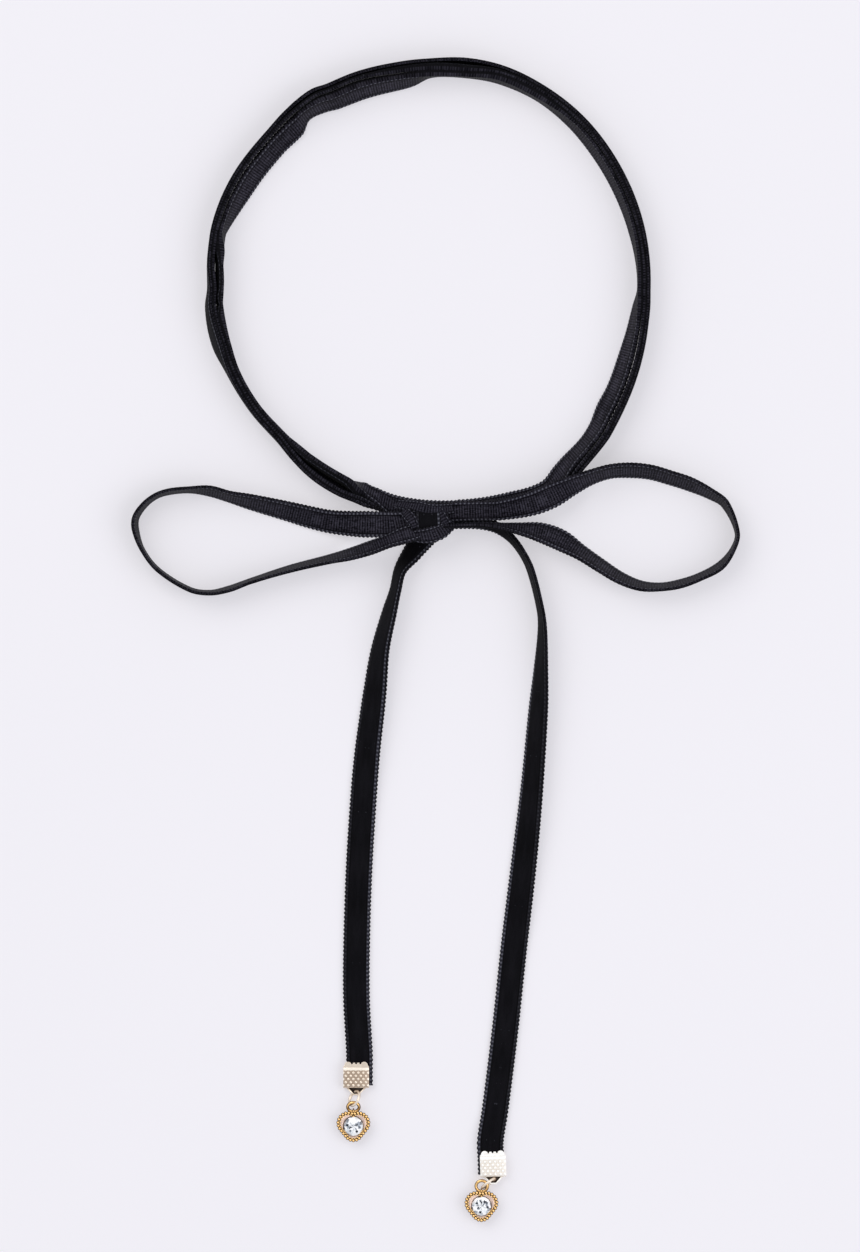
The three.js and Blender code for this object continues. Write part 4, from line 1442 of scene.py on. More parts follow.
@dataclass
class Neck:
    """The neck loop: three turns of one length, standing on edge inside each other."""

    ribbon: Ribbon
    turns: int = 3
    start: float = 263.0
    span: float = 346.0
    parting: float = 184.5
    parting_reach: float = 3.0
    swell: float = 1.4
    overlap: float = 0.08

    def nest(self, degrees: float) -> list[dict[str, float]]:
        """Middles and leans of the turns at an angle: each rests on the one outside it.

        Args:
            degrees: The angle round the neck.

        Returns:
            The turns, the outer one first.
        """
        at = NECK_FORM.at(degrees)
        stack = min(max(at["stack"], 0), 1)
        width, wall = self.ribbon.halves(at["gather"])
        room = (0, max(at["part"], 0), max(at["slack"], 0))
        turns: list[dict[str, float]] = []
        for i, column in enumerate(("outer", "middle", "inner")):
            lean = math.radians(at[column])
            sine, cosine = math.sin(lean), math.cos(lean)
            turn = {"lean": lean, "gather": at["gather"], "lift": 0.0, "room": room[i]}
            turn["half"] = width * cosine + wall * abs(sine)
            if i == 0:
                turn["z"] = turn["half"]
                turn["r"] = NECK_RADIUS + at["reach"] * self.ribbon.width
                turn["r"] -= width * abs(sine) + wall * cosine
            else:
                near = turns[i - 1]
                near_sine, near_cosine = math.sin(near["lean"]), math.cos(near["lean"])
                turn["lift"] = near["lift"] + stack * (2 * wall + self.ribbon.gap) * abs(near_sine)
                turn["z"] = turn["lift"] + turn["half"]
                edge = width if lean > near["lean"] else -width
                away = wall + self.ribbon.gap + room[i] * self.ribbon.wall
                face_z = near["z"] + away * near_sine
                run = (turn["z"] + edge * cosine - wall * sine - face_z) / near_cosine
                turn["r"] = near["r"] - away * near_cosine + run * near_sine
                turn["r"] -= edge * sine + wall * cosine
            turns.append(turn)
        return turns

    def section(self, degrees: float, turn: int) -> Section:
        """The ribbon's section at an angle of a turn.

        Args:
            degrees: The angle.
            turn: The turn, from 0 for the outer one.

        Returns:
            The section.
        """
        at = self.nest(degrees)[turn]
        angle = math.radians(degrees)
        out = polar(1, angle)
        sine, cosine = math.sin(at["lean"]), math.cos(at["lean"])
        middle = out * at["r"] + UP * at["z"]
        along, face = out * sine + UP * cosine, out * cosine - UP * sine
        made = self.ribbon.section(middle, along, face, at["gather"])
        filled = at["room"] * self.ribbon.wall / 2
        if turn:
            shut = min(abs(degrees - self.parting) / self.parting_reach, 1.0)
            filled = (self.swell * filled + self.ribbon.gap / 2 + self.overlap) * shut
        made.middle += face * filled
        made.facing += face * filled
        made.middle.z = max(made.middle.z, abs(made.widthways.z) + abs(made.facing.z))
        return made

    def passing(self, share: float, turn: int) -> Section:
        """A section behind the knot.

        Args:
            share: How far it is from one turn's end to the next turn's start.
            turn: The turn that ends.

        Returns:
            The section.
        """
        end = self.start - self.span
        last, first = self.section(end, turn), self.section(self.start, turn + 1)
        level = math.radians(end - (360 - self.span) * share)
        blended = []
        for name in ("middle", "widthways", "facing"):
            before = Matrix.Rotation(-math.radians(end), 3, "Z") @ getattr(last, name)
            after = Matrix.Rotation(-math.radians(self.start), 3, "Z") @ getattr(first, name)
            blended.append(Matrix.Rotation(level, 3, "Z") @ before.lerp(after, share))
        return Section(*blended)

    def build(self) -> bpy.types.Object:
        """Weaves the three turns.

        Returns:
            The ribbon of the neck loop.
        """
        steps = math.ceil(math.radians(self.span) * NECK_RADIUS / self.ribbon.step)
        passes = math.ceil(math.radians(360 - self.span) * NECK_RADIUS / self.ribbon.step)
        sections = []
        for turn in range(self.turns):
            for i in range(steps + 1):
                sections.append(self.section(self.start - self.span * i / steps, turn))
            if turn < self.turns - 1:
                sections += [self.passing(i / passes, turn) for i in range(1, passes)]
        made = self.ribbon.woven("neck_ribbon", sections, Upward.VELVET)
        return settle(made, "velvet_ribbon", "neck_wrap")


@dataclass
class Knot:
    """The knot of the bow: gathered satin, a velvet band over it, and the folds beside it."""

    ribbon: Ribbon
    bow: Bow

    # Round the gathered core: from its front (-1) to its back (1), and a share of its height
    ROUND = (
        (-0.7, 0.02),
        (-0.92, 0.14),
        (-1.0, 0.36),
        (-0.95, 0.58),
        (-0.78, 0.8),
        (-0.42, 0.95),
        (0.0, 1.0),
        (0.4, 0.97),
        (0.74, 0.84),
        (0.95, 0.68),
        (0.88, 0.6),
        (0.1, 0.56),
        (-0.1, 0.5),
        (-0.14, 0.02),
    )
    SWELL = Rows(
        ("along", "front", "back", "height"),
        (
            (-7.1, -4.9, 3.0, 5.6),
            (-5.4, -5.4, 3.9, 7.2),
            (-2.8, -5.5, 4.5, 8.7),
            (0.0, -5.5, 4.6, 9.1),
            (2.4, -5.3, 4.6, 8.9),
            (4.8, -4.0, 4.4, 7.6),
            (7.1, -2.3, 3.8, 5.6),
        ),
    )
    # Each fold: its face, then x, y and z of its middle and of its half width, in the knot's frame
    FOLDS = (
        (
            "band",
            Upward.VELVET,
            (
                (0.3, -3.2, 7.4, 3.1, 0.2, 0),
                (0.2, -2.4, 9.2, 3.2, 0.2, 0.1),
                (0.1, -1.0, 10.0, 3.25, 0.2, 0.1),
                (0.0, 0.8, 10.1, 3.25, 0.1, 0),
                (-0.1, 2.4, 9.4, 3.1, 0, 0),
                (-0.2, 3.3, 7.8, 2.9, -0.1, 0),
            ),
        ),
        (
            "swath",
            Upward.SATIN,
            (
                (-5.2, -3.9, 7.6, 0.3, -1.1, -0.5),
                (-2.9, -4.3, 8.7, 0.4, -1.6, -0.9),
                (0.2, -4.1, 9.6, 0.6, -1.9, -1.0),
                (3.2, -3.2, 9.4, 1.0, -1.7, -0.8),
                (5.4, -1.8, 8.2, 1.1, -1.1, -0.6),
                (6.9, -1.0, 6.9, 0.9, -0.6, -0.4),
            ),
        ),
        (
            "over",
            Upward.VELVET,
            (
                (-8.2, 4.3, 6.6, 0.5, 1.0, 0.2),
                (-5.2, 3.9, 8.4, 0.6, 1.3, 0.5),
                (-2.4, 3.5, 10.0, 0.5, 1.5, 0.7),
                (0.6, 2.9, 10.3, 0.2, 1.5, 0.7),
                (3.6, 2.9, 9.5, -0.1, 1.4, 0.5),
                (6.6, 3.2, 7.6, -0.3, 1.2, 0.3),
            ),
        ),
        (
            "fold_left",
            Upward.VELVET,
            (
                (-6.4, 2.4, 7.6, 0.7, 1.0, 0.3),
                (-5.3, 1.3, 9.1, 1.1, 0.9, 0.6),
                (-4.1, -0.3, 9.8, 1.2, 0.6, 0.6),
                (-3.2, -2.2, 9.2, 0.9, 0.2, 0.4),
            ),
        ),
        (
            "fold_right",
            Upward.VELVET,
            (
                (3.1, 2.4, 9.6, 0.9, 0.8, 0.5),
                (3.9, 0.6, 10.0, 1.2, 0.7, 0.5),
                (4.8, -1.0, 9.2, 1.3, 0.6, 0.2),
                (6.0, -2.0, 7.4, 1.0, 0.4, 0.0),
            ),
        ),
    )
    core_steps: int = 56
    core_sides: int = 96
    pleat: float = 0.05

    def core(self) -> bpy.types.Object:
        """The gathered core, with pleats that run from loop to loop.

        Returns:
            The core.
        """
        rings = []
        steps, count = self.core_steps, self.core_sides
        first, last = self.SWELL.rows[0][0], self.SWELL.rows[-1][0]
        for i in range(steps + 1):
            along = first + (last - first) * i / steps
            at = self.SWELL.at(along)
            ring = []
            for j in range(count):
                place = j / count * len(self.ROUND)
                k, share = int(place), place - int(place)
                a, b = self.ROUND[k], self.ROUND[(k + 1) % len(self.ROUND)]
                y = a[0] + (b[0] - a[0]) * share
                z = a[1] + (b[1] - a[1]) * share
                pleat = self.pleat * math.sin(j * 1.05 + 0.35 * along) if z > 0.62 else 0.0
                y, z = y * (1 + 0.5 * pleat), z * (1 + pleat)
                y = at["front"] + (at["back"] - at["front"]) * (y + 1) / 2
                ring.append(self.bow.knot + ORIGIN + Vector((along, y, z * at["height"])))
            rings.append(ring)
        made = dressed(shell("knot_core", rings), self.ribbon.palette.satin)
        uv = made.data.uv_layers.new(name="UVMap")
        for loop in made.data.loops:
            point = made.data.vertices[loop.vertex_index].co
            uv.data[loop.index].uv = (point.x, 0.0012 * math.sin(point.y * 900))
        return made

    def fold(
        self, name: str, upward: Upward, rows: Sequence[Sequence[float]]
    ) -> bpy.types.Object:
        """A fold of ribbon over the core.

        Args:
            name: The object's name.
            upward: The face that shows.
            rows: The fold's middles and half widths.

        Returns:
            The ribbon.
        """
        columns = ("run", "x", "y", "z", "wx", "wy", "wz")
        table, run = [], 0.0
        for i, row in enumerate(rows):
            if i:
                run += (Vector(row[:3]) - Vector(rows[i - 1][:3])).length
            table.append((run, *row))
        form = Rows(columns, tuple(table))
        steps = math.ceil(run / self.ribbon.step)
        spots = [form.at(run * i / steps) for i in range(steps + 1)]
        places = [Vector((s["x"], s["y"], s["z"])) for s in spots]
        sections = []
        for i, spot in enumerate(spots):
            ahead = places[min(i + 1, steps)] - places[max(i - 1, 0)]
            widthways = Vector((spot["wx"], spot["wy"], spot["wz"]))
            face = widthways.cross(ahead).normalized()
            middle = self.bow.knot + places[i]
            sections.append(Section(middle, widthways, face * self.ribbon.wall / 2))
        return self.ribbon.woven(name, sections, upward)

    def build(self) -> bpy.types.Object:
        """The whole knot."""
        parts = [self.core(), *(self.fold(*fold) for fold in self.FOLDS)]
        return settle(merged("bow_knot", parts), "velvet_ribbon", "knot")


# Metal and stones


@dataclass
class Links:
    """How the links of one free end hang, in the crimp's frame."""

    lug: tuple[float, float]
    heart_turn: float
    bail_turn: float
    bail_rise: float
    ring: tuple[float, float]
    heading: float
    climb: float
    tilt: float


@dataclass
class End:
    """A free end's frame: where its crimp is and how far it is turned."""

    side: Side
    bow: Bow
    length: float
    offset: float
    turn: float

    def place(self, x: float, y: float, z: float) -> Vector:
        """A point of the crimp's frame in the necklace's."""
        point = Matrix.Rotation(math.radians(self.turn), 3, "Z") @ Vector((x, y, z))
        return point + self.bow.knot + Vector((self.offset, -self.length, 0))

    def move(self, made: bpy.types.Object) -> bpy.types.Object:
        """Moves a piece that was made in the crimp's frame, in millimetres times MM.

        Args:
            made: The piece.

        Returns:
            The piece.
        """
        turn = Matrix.Rotation(math.radians(self.turn), 4, "Z")
        shift = Matrix.Translation((self.place(0, 0, 0) + ORIGIN) * MM)
        made.data.transform(shift @ turn)
        return made


@dataclass
class Crimp:
    """Folded ribbon end: two toothed lips, a dotted plate over the fold, and a V tab."""

    end: End
    palette: Palette
    studs: Studs
    width: float = 6.95
    length: float = 7.1
    height: float = 2.4
    plate: float = 0.45
    lip: float = 1.5
    tab_drop: float = 2.1
    tongue_drop: float = 1.6
    tongue: tuple[float, float] = (0.9, 1.35)
    shoulder: float = 0.95
    tooth: float = 0.27
    tooth_drop: float = 0.4
    tooth_root: float = 0.25
    bend: float = 0.75
    bar: float = 0.2
    dot: float = 0.42
    dot_rise: float = 0.8
    first_dot: tuple[float, float] = (-2.8, 0.75)

    def gold(self) -> bpy.types.Material:
        """The plating: the right crimp gets a paler, lit copy of it, as painted light."""
        pale, lit_copy = self.palette.pale_gold, self.palette.white_gold
        return pale if self.end.side is Side.LEFT else lit_copy

    def lips(self) -> list[bpy.types.Object]:
        """The toothed edges of both plates.

        Returns:
            The upper lip and the lower one.
        """
        half, bump, tooth, root = self.width / 2, self.shoulder, self.tooth, -self.tooth_root
        corner = half - bump - 0.35
        outline = [(half - 0.02, -self.lip), (half - 0.12, -1.15)]
        for i in range(11):
            angle = math.radians(132.5 * i / 10)
            outline.append((corner + bump * math.cos(angle), bump * (math.sin(angle) - 1)))
        for x in (1.15, 0.0):
            for i in range(7):
                angle = math.pi * i / 6
                drop = self.tooth_drop + tooth * math.sin(angle)
                outline.append((x + tooth * math.cos(angle), -drop if 0 < i < 6 else root))
            if x:
                outline.append((x - tooth - 0.3, root))
        middle = tooth + 0.01
        mirrored = [(-x, y) for x, y in reversed(outline) if x > middle]
        outline = [point for point in outline if point[0] >= -middle] + mirrored
        made = []
        for low, high in ((self.height - self.plate - 0.05, self.height - 0.07), (0.0, self.plate)):
            mesh = bmesh.new()
            ends = []
            for z in (low, high):
                ends.append([mesh.verts.new(Vector((x, y, z)) * MM) for x, y in outline])
            count = len(outline)
            for i in range(count):
                k = (i + 1) % count
                mesh.faces.new((ends[0][i], ends[0][k], ends[1][k], ends[1][i]))
            mesh.faces.new(ends[0][::-1])
            mesh.faces.new(ends[1])
            made.append(finish("lip", mesh, smooth=False))
        return made

    def fold(self) -> bpy.types.Object:
        """The two plates and the rounded fold between them.

        Returns:
            The folded plate.
        """
        inside = self.height - self.plate
        profile = [(-self.lip - 0.02, self.height - 0.03), (-self.lip - 0.22, self.height)]
        bend = self.bend
        for top in (True, False):
            for i in range(6):
                angle = math.radians(90 - 15 * i if top else -15 * (i + 1))
                y = -self.length + bend - bend * math.cos(angle)
                rise = bend * math.sin(angle)
                profile.append((y, self.height - bend + rise if top else bend + rise))
        profile += [(-self.lip, 0.0), (-self.lip, self.plate)]
        turn = self.plate - self.length
        profile += [(turn + 0.3, self.plate), (turn, self.plate + 0.3)]
        profile += [(turn, inside - 0.3), (turn + 0.3, inside - 0.05), (-self.lip, inside - 0.05)]
        half = self.width / 2
        rings = [[Vector((x, y, z)) for y, z in profile] for x in (-half, half)]
        return shell("fold", rings)

    def stamp(self, plate: bpy.types.Object) -> bpy.types.Object:
        """Gives the fold its dotted finish, laid out from the first dot.

        Args:
            plate: The folded plate.

        Returns:
            The plate.
        """
        pale = self.end.side is Side.LEFT
        dressed(plate, self.palette.pale_stamped if pale else self.palette.white_stamped)
        uv = plate.data.uv_layers.new(name="UVMap")
        for loop in plate.data.loops:
            point = plate.data.vertices[loop.vertex_index].co / MM
            across, along = point.x - self.first_dot[0], point.y + self.length - self.first_dot[1]
            uv.data[loop.index].uv = (across * MM, along * MM)
        return plate

    def dots(self) -> bpy.types.Object:
        """Raised dots in staggered rows.

        Returns:
            The dots.
        """
        points = []
        for row in range(DOT_ROWS):
            y = self.first_dot[1] - self.length + row * DOT_ROW
            x = self.first_dot[0] + (0.0 if row % 2 else DOT_COLUMN / 2)
            while x < self.width / 2 - self.dot + 0.02:
                points.append(Vector((x, y, self.height - 0.04)))
                x += DOT_COLUMN
        source, radius = scattered("dots", points), self.dot * MM
        return self.studs.run("dots", source, radius=radius, rise=self.dot_rise, material=self.gold())

    def tab(self) -> bpy.types.Object:
        """The open V tab: a rounded bar from one corner of the fold to the other.

        Returns:
            The tab.
        """
        fold, end = -self.length, -self.length - self.tab_drop
        points = ((-2.45, fold + 0.15), (-0.68, end + 0.34), (0.68, end + 0.34), (2.45, fold + 0.15))
        z, half = self.height / 2 + 0.25, self.bar
        rings = []
        spots = [Vector((x, y, z)) for x, y in points]
        for i, spot in enumerate(spots):
            before = (spot - spots[i - 1]).normalized() if i else None
            after = (spots[i + 1] - spot).normalized() if i < len(spots) - 1 else None
            ahead = ((before or after) + (after or before)).normalized()
            out = ahead.cross(UP)
            ring = []
            for j in range(12):
                angle = 2 * math.pi * (j + 0.5) / 12
                across = math.copysign(abs(math.cos(angle)) ** 0.6, math.cos(angle))
                rise = math.copysign(abs(math.sin(angle)) ** 0.6, math.sin(angle))
                ring.append(spot + out * (across * half * 1.1) + UP * (rise * half))
            rings.append(ring)
        return shell("tab", rings)

    def lining(self) -> bpy.types.Object:
        """Painted shadow: a dark end of the lower plate, inside the tab.

        Returns:
            The dark piece.
        """
        fold = -self.length
        outline = [(-2.2, fold + 0.3), (-2.1, fold), (-0.85, fold - self.tongue_drop)]
        outline += [(-x, y) for x, y in reversed(outline)]
        rings = [[Vector((x, y, z)) for x, y in outline] for z in self.tongue]
        return dressed(shell("lining", rings), self.palette.shadow)

    def build(self) -> bpy.types.Object:
        """The whole crimp.

        Returns:
            The crimp.
        """
        parts = [bevelled(lip, 0.07) for lip in self.lips()]
        parts.append(self.tab())
        parts = [dressed(part, self.gold()) for part in parts]
        parts.append(self.stamp(bevelled(self.fold(), 0.06, angle=50)))
        parts += [self.dots(), self.lining()]
        name = self.end.side.value
        made = self.end.move(merged(f"crimp_{name}_metal", parts))
        return settle(made, "pale_gold", f"crimp_{name}")


@dataclass
class Charm:
    """Jump ring, bail, heart and stone of one free end."""

    end: End
    links: Links
    palette: Palette
    studs: Studs
    ring_radius: float = 2.05
    ring_wire: float = 0.36
    bail_radius: float = 1.55
    bail_wire: float = 0.42
    lug_radius: float = 0.7
    lug_wire: float = 0.22
    lug_rise: float = 1.0
    lug_reach: float = 3.9
    lobe: tuple[float, float, float] = (1.35, 0.85, 2.7)
    tip: tuple[float, float] = (1.45, 2.3)
    rim: float = 0.15
    height: float = 2.9
    bead: float = 0.47
    beads: int = 29
    inner_bead: float = 0.62
    stone: float = 2.62
    girdle: float = 2.6
    steps: int = 120
    wire_steps: int = 64
    wire_sides: int = 16

    def wire(
        self, name: str, centre: Vector, radius: float, wire: float, first: Vector, second: Vector
    ) -> bpy.types.Object:
        """A round wire ring.

        Args:
            name: The object's name.
            centre: Its middle.
            radius: From the middle to the wire's middle.
            wire: The wire's radius.
            first: One direction of the ring's plane.
            second: The other.

        Returns:
            The ring.
        """
        axis = first.cross(second).normalized()
        rings = []
        for i in range(self.wire_steps):
            turn = 2 * math.pi * i / self.wire_steps
            out = first * math.cos(turn) + second * math.sin(turn)
            ring = []
            for j in range(self.wire_sides):
                angle = 2 * math.pi * j / self.wire_sides
                point = centre + out * (radius + wire * math.cos(angle))
                ring.append(point + axis * (wire * math.sin(angle)))
            rings.append(ring)
        return shell(name, rings, closed=True)

    def reach(self, angle: float, margin: float) -> float:
        """Distance of the heart's outline from the stone's middle.

        Args:
            angle: The direction, in radians.
            margin: How far the outline is let out.

        Returns:
            The distance.
        """
        ray = Vector((abs(math.cos(angle)), math.sin(angle)))
        lobe, tip = Vector(self.lobe[:2]), Vector((0, -self.tip[0]))
        found = []
        for centre, radius in ((lobe, self.lobe[2] + margin), (tip, self.tip[1] + margin)):
            along = ray.dot(centre)
            inside = along * along - centre.length_squared + radius * radius
            found.append(along + math.sqrt(inside) if inside > 0 else 0.0)
        spine = lobe - tip
        grow = (self.tip[1] - self.lobe[2]) / spine.length
        normal = Vector((spine.y, -spine.x)).normalized() * math.sqrt(1 - grow * grow)
        normal += spine.normalized() * grow
        straight = (normal.dot(lobe) + self.lobe[2] + margin) / normal.dot(ray)
        high = lobe.y + normal.y * (self.lobe[2] + margin)
        low = tip.y + normal.y * (self.tip[1] + margin)
        if straight > 0 and low <= (ray * straight).y <= high:
            found.append(straight)
        return max(found)

    def bead_places(self, margin: float, shift: float, height: float) -> list[Vector]:
        """Places of a ring of beads, equally spaced.

        Args:
            margin: How far the ring is outside the heart's outline.
            shift: How far the first bead is from the tip, in beads.
            height: Height of the beads' middles.

        Returns:
            The places.
        """
        outline = []
        for i in range(721):
            angle = -math.pi / 2 + 2 * math.pi * i / 720
            outline.append(polar(self.reach(angle, margin), angle, height))
        runs = [0.0]
        for before, after in zip(outline, outline[1:]):
            runs.append(runs[-1] + (after - before).length)
        places = []
        for bead in range(self.beads):
            run = runs[-1] * (bead + shift) / self.beads
            places.append(outline[next(i for i, length in enumerate(runs) if length >= run)])
        return places

    def flange(self) -> bpy.types.Object:
        """The smooth lip between the beads and the stone.

        Returns:
            The flange.
        """
        levels = (
            (self.girdle - 0.2, 0.0),
            (self.height - 0.05, 0.0),
            (self.girdle - 0.02, 1.0),
            (self.girdle - 0.3, 1.0),
        )
        rings = []
        for z, share in levels:
            ring = []
            for i in range(self.steps):
                angle = 2 * math.pi * i / self.steps
                distance = self.reach(angle, -0.5) * (1 - share) + (self.stone + 0.12) * share
                ring.append(polar(distance, angle, z))
            rings.append(ring)
        return dressed(shell("flange", rings, closed=True), self.palette.rose)

    def body(self) -> bpy.types.Object:
        """The heart itself, with a cup for the stone.

        Returns:
            The body.
        """
        cup = self.stone + 0.14
        top = self.height
        # Height, distance from the heart's outline or, in the cup, from the middle, and roundness
        levels = [
            (0.0, -0.5, 0.0),
            (0.12, -0.3, 0.0),
            (0.35, -0.18, 0.0),
            (1.3, -0.2, 0.0),
            (top - 0.75, -0.3, 0.0),
            (top - 0.55, -0.38, 0.0),
            (top - 0.5, -0.5, 0.0),
            (top - 0.3, -0.62, 0.0),
            (top - 0.26, -0.78, 0.0),
            (top - 0.34, -0.85, 0.15),
            (self.girdle - 0.3, -0.85, 0.8),
            (self.girdle - 0.1, cup + 0.08, 1.0),
            (self.girdle - 0.25, cup, 1.0),
            (0.75, 0.62, 1.0),
        ]
        rings = []
        for z, reach, circle in levels:
            ring = []
            for i in range(self.steps):
                angle = math.pi / 2 + 2 * math.pi * i / self.steps
                heart = self.reach(angle, self.rim + (reach if circle < 1 else 0))
                round_reach = reach if circle == 1 else cup + 0.1
                ring.append(polar(heart * (1 - circle) + round_reach * circle, angle, z))
            rings.append(ring)
        return dressed(shell("body", rings), self.palette.warm_gold)

    def bead_rings(self) -> list[bpy.types.Object]:
        """The outer ring of beads and the small one inside it.

        Returns:
            The two rings.
        """
        made = []
        for margin, shift, height, bead in (
            (0.08, 0.0, self.girdle, self.bead),
            (-0.42, 0.5, self.girdle + 0.02, self.bead * self.inner_bead),
        ):
            source = scattered("beads", self.bead_places(margin, shift, height))
            sizes = {"radius": bead * MM, "rise": 1.0, "material": self.palette.warm_gold}
            made.append(self.studs.run("beads", source, **sizes))
        return made

    def lug(self) -> list[bpy.types.Object]:
        """The upright eye above the heart, and the post that carries it.

        Returns:
            The eye and the post.
        """
        gold = self.palette.warm_gold
        eye = Vector((0, self.lug_reach, self.lug_rise))
        ring = self.wire("lug", eye, self.lug_radius, self.lug_wire, Vector((0, 1, 0)), UP)
        post = []
        for i in range(5):
            y = self.lug_reach - self.lug_radius - 1.0 + 0.24 * i
            flare = 0.34 + 0.1 * (1 - i / 4) ** 2
            turns = [2 * math.pi * j / 14 for j in range(14)]
            across = [(flare * math.cos(turn), 0.36 * math.sin(turn)) for turn in turns]
            post.append([Vector((x, y, self.lug_rise + rise)) for x, rise in across])
        return [dressed(ring, gold), dressed(shell("post", post), gold)]

    def heart(self) -> bpy.types.Object:
        """The whole setting."""
        parts = [self.body(), self.flange(), *self.bead_rings(), *self.lug()]
        return merged(f"heart_{self.end.side.value}_setting", parts)

    def build(self) -> None:
        """The links, heart and stone, each on the frame."""
        side, links = self.end.side.value, self.links
        across = polar(1, math.radians(links.bail_turn))
        rise = math.radians(links.bail_rise)
        ahead = Vector((-across.y * math.cos(rise), across.x * math.cos(rise), math.sin(rise)))
        eye = Vector((*links.lug, self.lug_rise))
        centre, radius = eye + ahead * self.bail_radius, self.bail_radius
        bail = self.wire(f"bail_{side}_link", centre, radius, self.bail_wire, across, ahead)
        dressed(bail, self.palette.warm_gold)
        settle(self.end.move(bail), "warm_gold", f"bail_{side}")

        heading, climb = math.radians(links.heading), math.radians(links.climb)
        level = Vector((math.sin(heading), -math.cos(heading), 0))
        first = Vector((-level.y, level.x, 0)) * math.cos(climb) + UP * math.sin(climb)
        second = Matrix.Rotation(math.radians(links.tilt), 3, first) @ level
        stand = self.ring_radius * math.hypot(first.z, second.z) + self.ring_wire
        centre, radius = Vector((*links.ring, stand)), self.ring_radius
        ring = self.wire(f"jump_ring_{side}_link", centre, radius, self.ring_wire, first, second)
        dressed(ring, self.palette.pale_gold)
        settle(self.end.move(ring), "pale_gold", f"jump_ring_{side}")

        heart = self.heart()
        turned = Matrix.Rotation(math.radians(links.heart_turn), 4, "Z")
        back = Matrix.Translation(Vector((0, -self.lug_reach, 0)) * MM)
        there = Matrix.Translation(Vector((*links.lug, 0)) * MM)
        heart.data.transform(there @ turned @ back)
        settle(self.end.move(heart), "warm_gold", f"heart_{side}")

        low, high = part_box(f"crystal_{side}")
        middle = (low + high) / 2 / MM
        seed = 3.0 if self.end.side is Side.LEFT else 11.0
        cut = Brilliant(
            f"cut_stone_{side}", coat=0.6, roughness=0.05, centre=middle, radius=self.stone, seed=seed
        )
        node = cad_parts[f"crystal_{side}"]
        dressed(node, cut.material())
        log.info("crystal_%s: kept from the frame", side)


# Studio


@dataclass
class Studio:
    """Camera, floor and soft lights. The camera looks straight down, as the photograph does."""

    lens: float = 400.0
    sensor: float = 36.0
    surround: float = 0.7
    softbox: float = 1.5
    sheet: float = 6.0

    # Light from all round, from below to above
    SKY = (
        (0.0, (0.5, 0.5, 0.52)),
        (0.35, (0.9, 0.94, 1.04)),
        (0.7, (0.7, 0.74, 0.84)),
        (0.93, (0.3, 0.3, 0.33)),
    )

    def camera(self) -> None:
        """Frames what the photograph frames."""
        data = bpy.data.cameras.new("camera")
        data.lens, data.sensor_width, data.sensor_fit = self.lens, self.sensor, "AUTO"
        height = PHOTO_PIXELS[1] * PHOTO_PIXEL
        made = linked("camera", data)
        made.location = Vector((*PHOTO_CENTRE, height * self.lens / self.sensor)) * MM
        bpy.context.scene.camera = made

    def floor(self) -> None:
        """A wide sheet of pale paper."""
        mesh = bmesh.new()
        bmesh.ops.create_grid(mesh, x_segments=1, y_segments=1, size=self.sheet)
        made = finish("floor", mesh, smooth=False)
        made.data.transform(Matrix.Translation((0, 0, -0.00002)))
        dressed(made, Paper("paper", roughness=0.9, specular=0.1).material())

    def lamp(self, name: str, place: Triple, power: float, tone: Colour) -> None:
        """One softbox that points at the necklace.

        Args:
            name: Its name.
            place: Where it stands, in metres.
            power: Watts.
            tone: Its colour.
        """
        data = bpy.data.lights.new(name, "AREA")
        data.shape, data.size, data.energy, data.color = "SQUARE", self.softbox, power, tone
        made = linked(name, data)
        made.location = place
        made.rotation_euler = (-Vector(place)).to_track_quat("-Z", "Y").to_euler()
        made.visible_camera = False

    def world(self) -> None:
        """Even light from all round."""
        made = bpy.data.worlds.new("studio")
        made.use_nodes = True
        made.node_tree.nodes.clear()
        graph = Graph(made.node_tree)
        place = graph.add("ShaderNodeTexCoord").outputs["Generated"]
        _, _, height = graph.separate(place)
        ramp = graph.add("ShaderNodeValToRGB", {"stops": self.SKY}, {0: height})
        inputs = {"Color": ramp.outputs[0], "Strength": self.surround}
        light = graph.add("ShaderNodeBackground", {}, inputs)
        output = graph.add("ShaderNodeOutputWorld")
        graph.feed(output.inputs["Surface"], light.outputs[0])
        bpy.context.scene.world = made

    def build(self) -> None:
        """Sets the studio."""
        bpy.context.scene.view_settings.view_transform = "Standard"
        self.camera()
        self.floor()
        self.world()
        self.lamp("key", (-0.9, 0.9, 1.5), 13.0, (1.0, 0.985, 0.95))
        self.lamp("fill", (1.1, -0.3, 1.3), 10.0, (0.98, 0.98, 1.0))


def strands(ribbon: Ribbon, bow: Bow) -> None:
    """Lays the two loops of the bow.

    Args:
        ribbon: The ribbon.
        bow: The bow's sizes.
    """
    left, right, top = Vector((-1, 0, 0)), Vector((1, 0, 0)), Vector((0, 1, 0))
    cuts = (top, -top)
    loops = (
        (Side.LEFT, LOOP_LEFT_ROWS, bow.left, left, -1.0),
        (Side.RIGHT, LOOP_RIGHT_ROWS, bow.right, right, 1.0),
    )
    for side, rows, size, along, rim in loops:
        strand = Strand(ribbon, bow, rows, size, along, top, rim, cuts)
        name = f"loop_{side.value}_ribbon"
        made = ribbon.woven(name, strand.sections(), Upward.VELVET)
        settle(made, "velvet_ribbon", f"bow_loop_{side.value}")


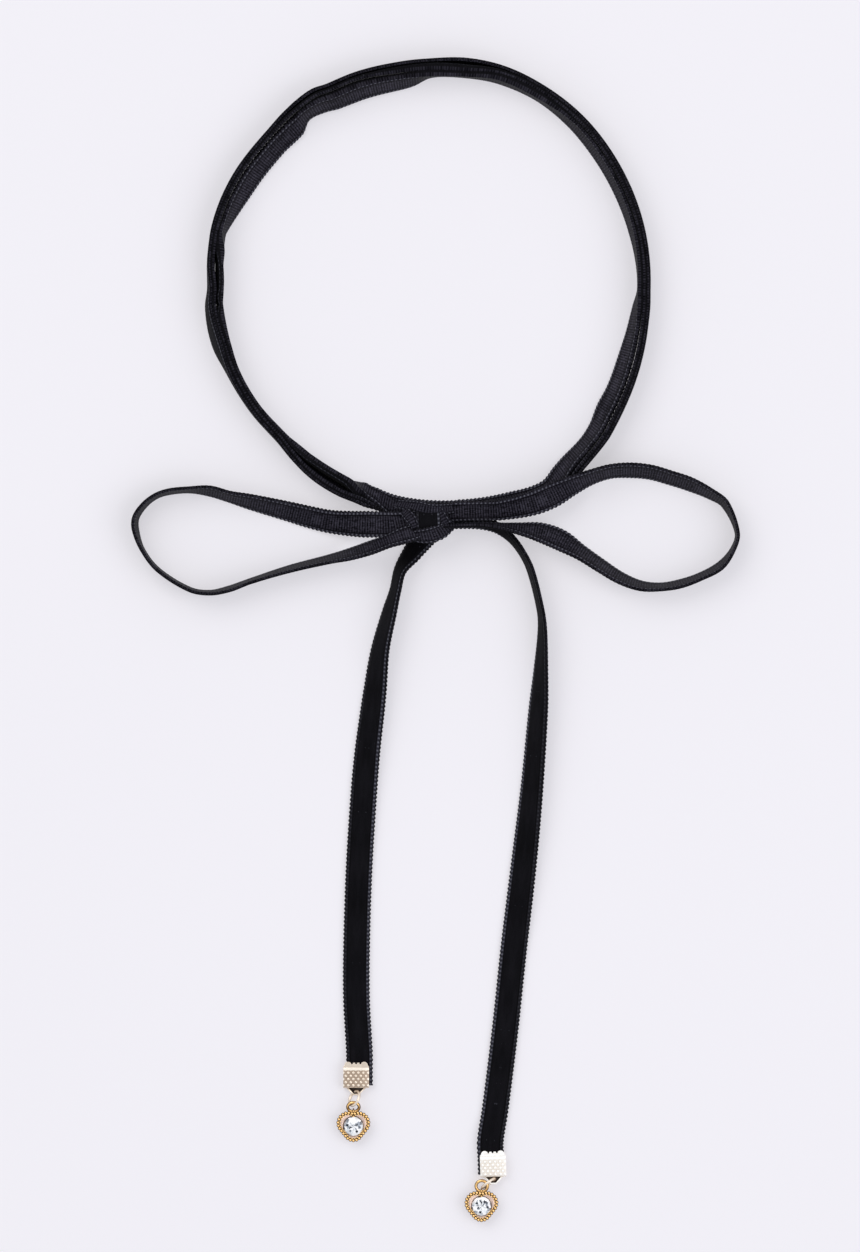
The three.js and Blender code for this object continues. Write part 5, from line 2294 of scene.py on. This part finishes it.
def free_end(ribbon: Ribbon, bow: Bow, end: End, links: Links, studs: Studs) -> None:
    """Lays one free end with its crimp and charm.

    Args:
        ribbon: The ribbon.
        bow: The bow's sizes.
        end: The free end's frame.
        links: How its links hang.
        studs: The recipe for domes.
    """
    leftward = end.side is Side.LEFT
    rows, offset = (TAIL_LEFT_ROWS, 0.88) if leftward else (TAIL_RIGHT_ROWS, -0.5)
    crimp = Crimp(end, ribbon.palette, studs)
    lift = (crimp.height - ribbon.wall) / 2 - 0.02
    extra = []
    for y in (2.5, -2.0, crimp.plate + 0.25 - crimp.length):
        spot = end.place(offset, y, 0)
        extra.append((spot.x, spot.y, 90.0, 1.0, lift))
    start = Vector((1, 0, 0)) if leftward else Vector((0, 1, 0))
    cut = Matrix.Rotation(math.radians(end.turn), 3, "Z") @ Vector((1, 0, 0))
    down, right = Vector((0, -1, 0)), Vector((1, 0, 0))
    strand = Strand(ribbon, bow, rows, end.length, down, right, 1.0, (start, cut), extra)
    name = f"tail_{end.side.value}_ribbon"
    made = ribbon.woven(name, strand.sections(), Upward.SATIN, 1.0 if leftward else -1.0)
    settle(made, "velvet_ribbon", f"tail_{end.side.value}")
    crimp.build()
    Charm(end, links, ribbon.palette, studs).build()


def main() -> None:
    """Builds the studio and the necklace."""
    logging.basicConfig(level=logging.INFO, format="%(message)s")
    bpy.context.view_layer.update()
    Studio().build()
    ribbon = Ribbon(Palette())
    bow = Bow()
    studs = Studs("studs", (("Radius", "Float"), ("Rise", "Float"), ("Material", "Material")))
    Neck(ribbon).build()
    Knot(ribbon, bow).build()
    strands(ribbon, bow)
    ends = (
        (
            End(Side.LEFT, bow, 146.2, -19.4, 0.0),
            Links((-0.74, -13.5), 0.0, 0.0, 35.0, (-0.49, -9.88), 268.0, 32.5, 51.0),
        ),
        (
            End(Side.RIGHT, bow, 170.2, 17.4, 1.9),
            Links((-3.35, -10.95), -1.9, -5.5, 18.0, (-1.36, -8.72), 35.0, 2.0, 80.0),
        ),
    )
    for end, links in ends:
        free_end(ribbon, bow, end, links, studs)


if __name__ == "__main__":
    main()
